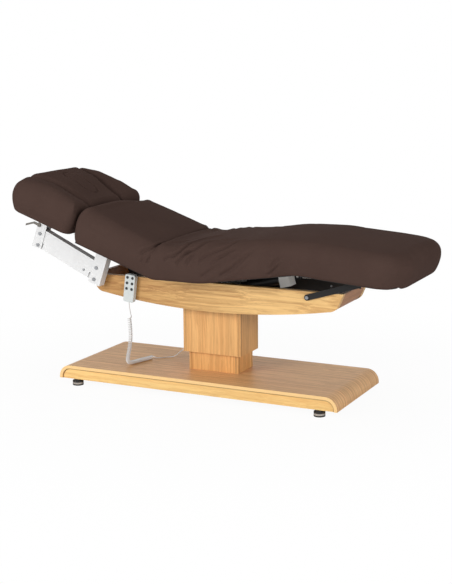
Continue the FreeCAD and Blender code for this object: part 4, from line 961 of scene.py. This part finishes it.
def make_mattress():
    """One soft block, bent and folded as a whole and then cut into three pieces."""
    start = -BACK_LENGTH - SEAM_FILL
    end = SEAT_LENGTH + THIGH_LENGTH + LEG_LENGTH + FOOT_SWELL
    wide = HALF_WIDTH
    head_corner, foot_corner = 0.034, 0.14
    head_tuck, foot_tuck = 0.012, 0.023
    near_folds, far_folds, far_shift = 1.3, 0.7, -22
    outline = rounded_outline([(start, -wide, head_corner), (end, -wide, foot_corner),
                               (end, wide, foot_corner), (start, wide, head_corner)])
    whole = raise_block("mattress", outline, MATTRESS_BASE, MATTRESS_TOP)
    round_edges(whole, MATTRESS_TOP, width=0.045, steps=6)
    round_edges(whole, MATTRESS_BASE, width=0.010, steps=3)
    apply_modifier(whole, "REMESH", mode="VOXEL", voxel_size=0.0065)
    apply_modifier(whole, "SMOOTH", factor=0.5, iterations=14)
    plain = whole.copy()
    plain.data = whole.data.copy()
    bpy.context.scene.collection.objects.link(plain)
    flat = spots(whole)
    along, across, up = flat.T
    shaped = side_shape(flat, mattress_top(along, across, start))
    shaped[:, 0] += end_shape(flat, start, end, head_tuck, foot_tuck)
    shaped[:, 2] += hollow_under(along, across, up, start, end)
    move_to(whole, bend_mattress(shaped))
    settle_cloth(whole, flat)
    for piece in (whole, plain):
        apply_modifier(piece, "SUBSURF", levels=1, render_levels=1)
    flat = spots(plain)
    bpy.data.objects.remove(plain)
    depth = fold_depth(flat, 1, 0, near_folds)
    depth += fold_depth(flat, -1, far_shift, far_folds)
    outside = smooth_step(flat[:, 2], 0.004, 0.02)
    move_to(whole, spots(whole) - normals(whole) * (depth * outside)[:, None])

    seat_cut = Vector((HIP.x + SEAT_LENGTH / 2, 0, 0))
    thigh_way = Vector((math.cos(THIGH_TILT), 0, math.sin(THIGH_TILT)))
    thigh_cut = SEAT_HINGE + thigh_way * (THIGH_LENGTH / 2)
    foot = Vector((1, 0, 0))
    reach = Vector((BEND_REACH, 0, 0))
    pieces = {
        "mattress_back": ([(seat_cut, foot)], ["back_pad", "hip_fold"], "back", "bed", HIP),
        "mattress_seat": ([(seat_cut, -foot), (thigh_cut, thigh_way)],
                          ["seat_pad", "thigh_fold", "thigh_pad"], "bed", "thigh", SEAT_HINGE),
        "mattress_legs": ([(thigh_cut, -thigh_way)], ["knee_fold", "leg_pad"], "thigh", "leg", KNEE),
    }
    for name, (cuts, nodes, before, after, hinge) in pieces.items():
        piece = cut_piece(whole, name, cuts)
        finish_pad(piece, *nodes)
        hinge - reach
        hinge + reach
        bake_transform(piece)
    bpy.data.objects.remove(whole)


def head_places(flat):
    """From the unrolled headrest to the bed as it stands, in line with the back."""
    x, z = turned(HIP, flat[:, 0], flat[:, 2], BACK_TILT)
    return np.stack([x, flat[:, 1], z], axis=1)


def plug_groove(flat):
    """Depth of the seam round the long plug in the middle of the headrest, on its top alone."""
    depth, width = 0.0075, 0.0042
    long_half = 0.055
    radius = 0.045
    middle = -BACK_LENGTH - HEAD_GAP - HEAD_LENGTH / 2 - 0.01
    along, across, up = flat.T
    off = np.clip(np.abs(along - middle) - long_half, 0, None)
    edge = np.abs(np.hypot(off, across) - radius)
    return depth * np.exp(-(edge / width) ** 2) * smooth_step(up, 0.11, 0.13)


def headrest_top(along, across, far, seam):
    """How far the headrest's top stands over its plain height.

    Its rims are round, its middle dips towards the neck, its grooves are notched at the far end and
    its wings fall off at both ends.
    """
    plain = 0.021
    rim_radius = 0.045
    neck_dip = 0.034
    groove_width, groove_depth, notch_depth = 0.018, 0.004, 0.020
    wing_rise, wing_far_drop, wing_seam_drop = 0.003, 0.020, 0.011
    off = np.abs(across)
    far_fall = 1 - smooth_step(along, far, far + 0.13)
    seam_fall = smooth_step(along, seam - 0.14, seam - 0.02)
    rim = np.minimum.reduce([HALF_WIDTH - off, along - far, seam - along])
    dip = neck_dip * smooth_step(along, seam - 0.24, seam - 0.03) * (1 - smooth_step(off, 0.16, 0.29))
    groove = np.interp(along, [far, seam], [GROOVE_FAR, GROOVE_SEAM])
    near_groove = np.exp(-((off - groove) / groove_width) ** 2)
    notch = near_groove * (groove_depth + notch_depth * far_fall)
    outer = smooth_step(off, 0.2, 0.29)
    wing = outer * (wing_rise - wing_far_drop * far_fall - wing_seam_drop * seam_fall)
    return plain + wing - pillow_drop(rim, rim_radius) - dip - notch


def headrest_plans(far, seam):
    """Each pad's CAD node and its plan corners as (along, across, radius)."""
    neck = seam - 0.006
    half_groove = 0.003
    far_round, seam_round = 0.03, 0.025
    head_corner, neck_corner = 0.065, 0.04
    inner_far, inner_seam = GROOVE_FAR - half_groove, GROOVE_SEAM - half_groove
    outer_far, outer_seam = GROOVE_FAR + half_groove, GROOVE_SEAM + half_groove
    wide = HALF_WIDTH
    return {
        "headrest_center": ("head_center_pad", [
            (far, -inner_far, far_round), (neck, -inner_seam, seam_round),
            (neck, inner_seam, seam_round), (far, inner_far, far_round)]),
        "headrest_wing_near": ("head_wing_near", [
            (far, -wide, head_corner), (seam, -wide, neck_corner),
            (seam, -outer_seam, seam_round), (far, -outer_far, far_round)]),
        "headrest_wing_far": ("head_wing_far", [
            (far, outer_far, far_round), (seam, outer_seam, seam_round),
            (seam, wide, neck_corner), (far, wide, head_corner)]),
    }


def make_headrest():
    seam = -BACK_LENGTH - HEAD_GAP + SEAM_FILL
    far = -BACK_LENGTH - HEAD_GAP - HEAD_LENGTH - 0.020
    far_tuck, seam_tuck = 0.018, 0.020
    for name, (node, corners) in headrest_plans(far, seam).items():
        pad = raise_block(name, rounded_outline(corners), HEAD_BASE, MATTRESS_TOP)
        round_edges(pad, MATTRESS_TOP, width=0.020, steps=4)
        apply_modifier(pad, "REMESH", mode="VOXEL", voxel_size=0.0036)
        apply_modifier(pad, "SMOOTH", factor=0.5, iterations=16)
        flat = spots(pad)
        along, across, _ = flat.T
        shaped = side_shape(flat, headrest_top(along, across, far, seam))
        shaped[:, 0] += end_shape(flat, far, seam, far_tuck, seam_tuck)
        shaped[:, 2] += HEAD_RISE
        move_to(pad, head_places(shaped))
        settle_cloth(pad, flat)
        if name == "headrest_center":
            move_to(pad, spots(pad) - normals(pad) * plug_groove(flat)[:, None])
        pick(pad)
        bpy.ops.object.shade_smooth()
        finish_pad(pad, node)
        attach(pad, "headrest")


# Small pieces
def make_cover_screw():
    """Round-headed screw with a hexagon socket on the near arm cover."""
    face = Vector((-0.6422, -0.203, 0.5557))
    radius = 0.0056
    height = 0.0032
    rounding = 0.0018
    socket_wall = 0.0012
    socket_depth = 0.0014
    bpy.ops.object.select_all(action="DESELECT")
    bpy.ops.mesh.primitive_cylinder_add(vertices=24, radius=radius, depth=height)
    screw = bpy.context.object
    screw.name = "arm_cover_screw"
    bpy.ops.object.mode_set(mode="EDIT")
    bpy.ops.mesh.select_mode(type="FACE")
    bpy.ops.mesh.select_all(action="DESELECT")
    mesh = bmesh.from_edit_mesh(screw.data)
    for part in mesh.faces:
        part.select = part.normal.z > 0.9
    bmesh.update_edit_mesh(screw.data)
    bpy.ops.mesh.bevel(offset=rounding, segments=4, affect="EDGES")
    bpy.ops.mesh.inset(thickness=socket_wall)
    bpy.ops.mesh.extrude_region_move(TRANSFORM_OT_translate={"value": (0, 0, -socket_depth)})
    bpy.ops.object.mode_set(mode="OBJECT")
    turn = Matrix.Rotation(math.pi / 2, 4, "X")
    screw.data.transform(Matrix.Translation(face - Vector((0, height / 2, 0))) @ turn)
    bpy.ops.object.shade_smooth_by_angle(angle=math.radians(40))
    dress(screw, "zinc")
    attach(screw, "upper_arms")


# Finishes of the pieces that keep their shape
def make_finishes():
    return {
        "leatherette": leatherette(),
        "rail": veneer("veneer_rails", along="X", light=shade(236, 187, 120), dark=shade(156, 96, 42),
                       heart=(0.04, 0.62), ring=0.012, wave=0.06, trim=rail_tone_and_inner_shade),
        "end": veneer("veneer_tray_ends", along="Y", light=shade(190, 132, 86), dark=shade(128, 78, 46),
                      heart=(0.2, 0.7), ring=0.01, wave=0.03),
        "outer": veneer("veneer_outer_column", along="Z", light=shade(240, 188, 122),
                        dark=shade(186, 126, 68), heart=(0.55, 0.35), ring=0.009, wave=0.03,
                        trim=corner_posts("outer_column_cover")),
        "inner": veneer("veneer_inner_column", along="Z", light=shade(240, 186, 118),
                        dark=shade(186, 122, 62), heart=(0.48, 0.42), ring=0.009, wave=0.03,
                        trim=corner_posts("inner_column_cover")),
        "base_top": base_veneer(along="X", light=shade(246, 196, 137), dark=shade(162, 107, 63),
                                heart=(0.62, -0.35), ring=0.014, wave=0.045, trim=pale_lipping),
        "base_side": veneer("veneer_base_sides", along="X", light=shade(253, 214, 142),
                            dark=shade(216, 158, 88), heart=(0.5, 0.6), ring=0.012, wave=0.06,
                            trim=panel_gap_shadow),
        "board": stained_board(),
        "black_steel": coated_steel("black_steel_coat", shade(22, 21, 21), rough=0.55),
        "white_steel": coated_steel("white_steel_coat", shade(224, 224, 224), rough=0.42),
        "zinc": bright_metal("zinc_plate", shade(122, 124, 127), shade(156, 157, 159)),
        "lever": bright_metal("lever_dark_plate", shade(88, 84, 80), shade(124, 120, 114)),
        "grey_plastic": plastic("motor_grey_plastic", shade(214, 211, 206), shade(228, 226, 222), rough=0.42),
        "leg_motor": plastic("leg_motor_housing", shade(236, 234, 230), shade(246, 244, 241), rough=0.42,
                             trim=tube_painted_shade),
        "dark_plastic": plastic("dark_plastic", shade(32, 32, 33), shade(46, 46, 47), rough=0.42),
        "foot": foot_finish(),
        "handset": handset_finish(),
        "button": plastic("button_dark_plastic", shade(24, 25, 27), shade(40, 41, 43), rough=0.38),
        "cord_sheath": plastic("cord_white_sheath", shade(216, 215, 214), shade(231, 230, 229), rough=0.4),
    }


NODE_FINISH = {
    "rail": ["tray_rails"],
    "end": ["tray_end_boards"],
    "outer": ["outer_column_cover"],
    "inner": ["inner_column_cover"],
    "base_top": ["base_top_panel"],
    "base_side": ["base_side_boards"],
    "board": ["seat_board", "back_board", "thigh_board", "leg_board", "head_board"],
    "black_steel": ["mounting_plate", "hinge_ears", "back_crank_frame", "thigh_frame", "leg_frame",
                    "leg_links", "actuator_mounts", "lift_fixed_tube"],
    "white_steel": ["back_arm_brackets", "head_arm_brackets", "arm_covers", "upper_arm_links",
                    "lower_arm_links"],
    "zinc": ["back_arm_bolts", "head_arm_bolts", "leg_link_bolts", "flange_bolts", "hinge_shafts",
             "knee_shaft", "back_actuator_rod", "leg_actuator_rod", "lift_moving_tube"],
    "lever": ["release_lever"],
    "grey_plastic": ["back_actuator_barrel", "lift_motor"],
    "leg_motor": ["leg_actuator_barrel"],
    "dark_plastic": ["control_box", "cord_gland"],
    "foot": ["levelling_feet"],
    "handset": ["handset_shell"],
    "button": ["button_lift_up", "button_lift_down", "button_back_up", "button_back_down", "button_legs_up",
               "button_legs_down"],
}


def finish_nodes():
    for finish, names in NODE_FINISH.items():
        for name in names:
            dress(frame["nodes"][name], finish)


FINISH = make_finishes()
set_camera()
make_cords()
set_studio()
make_mattress()
make_headrest()
make_cover_screw()
finish_nodes()
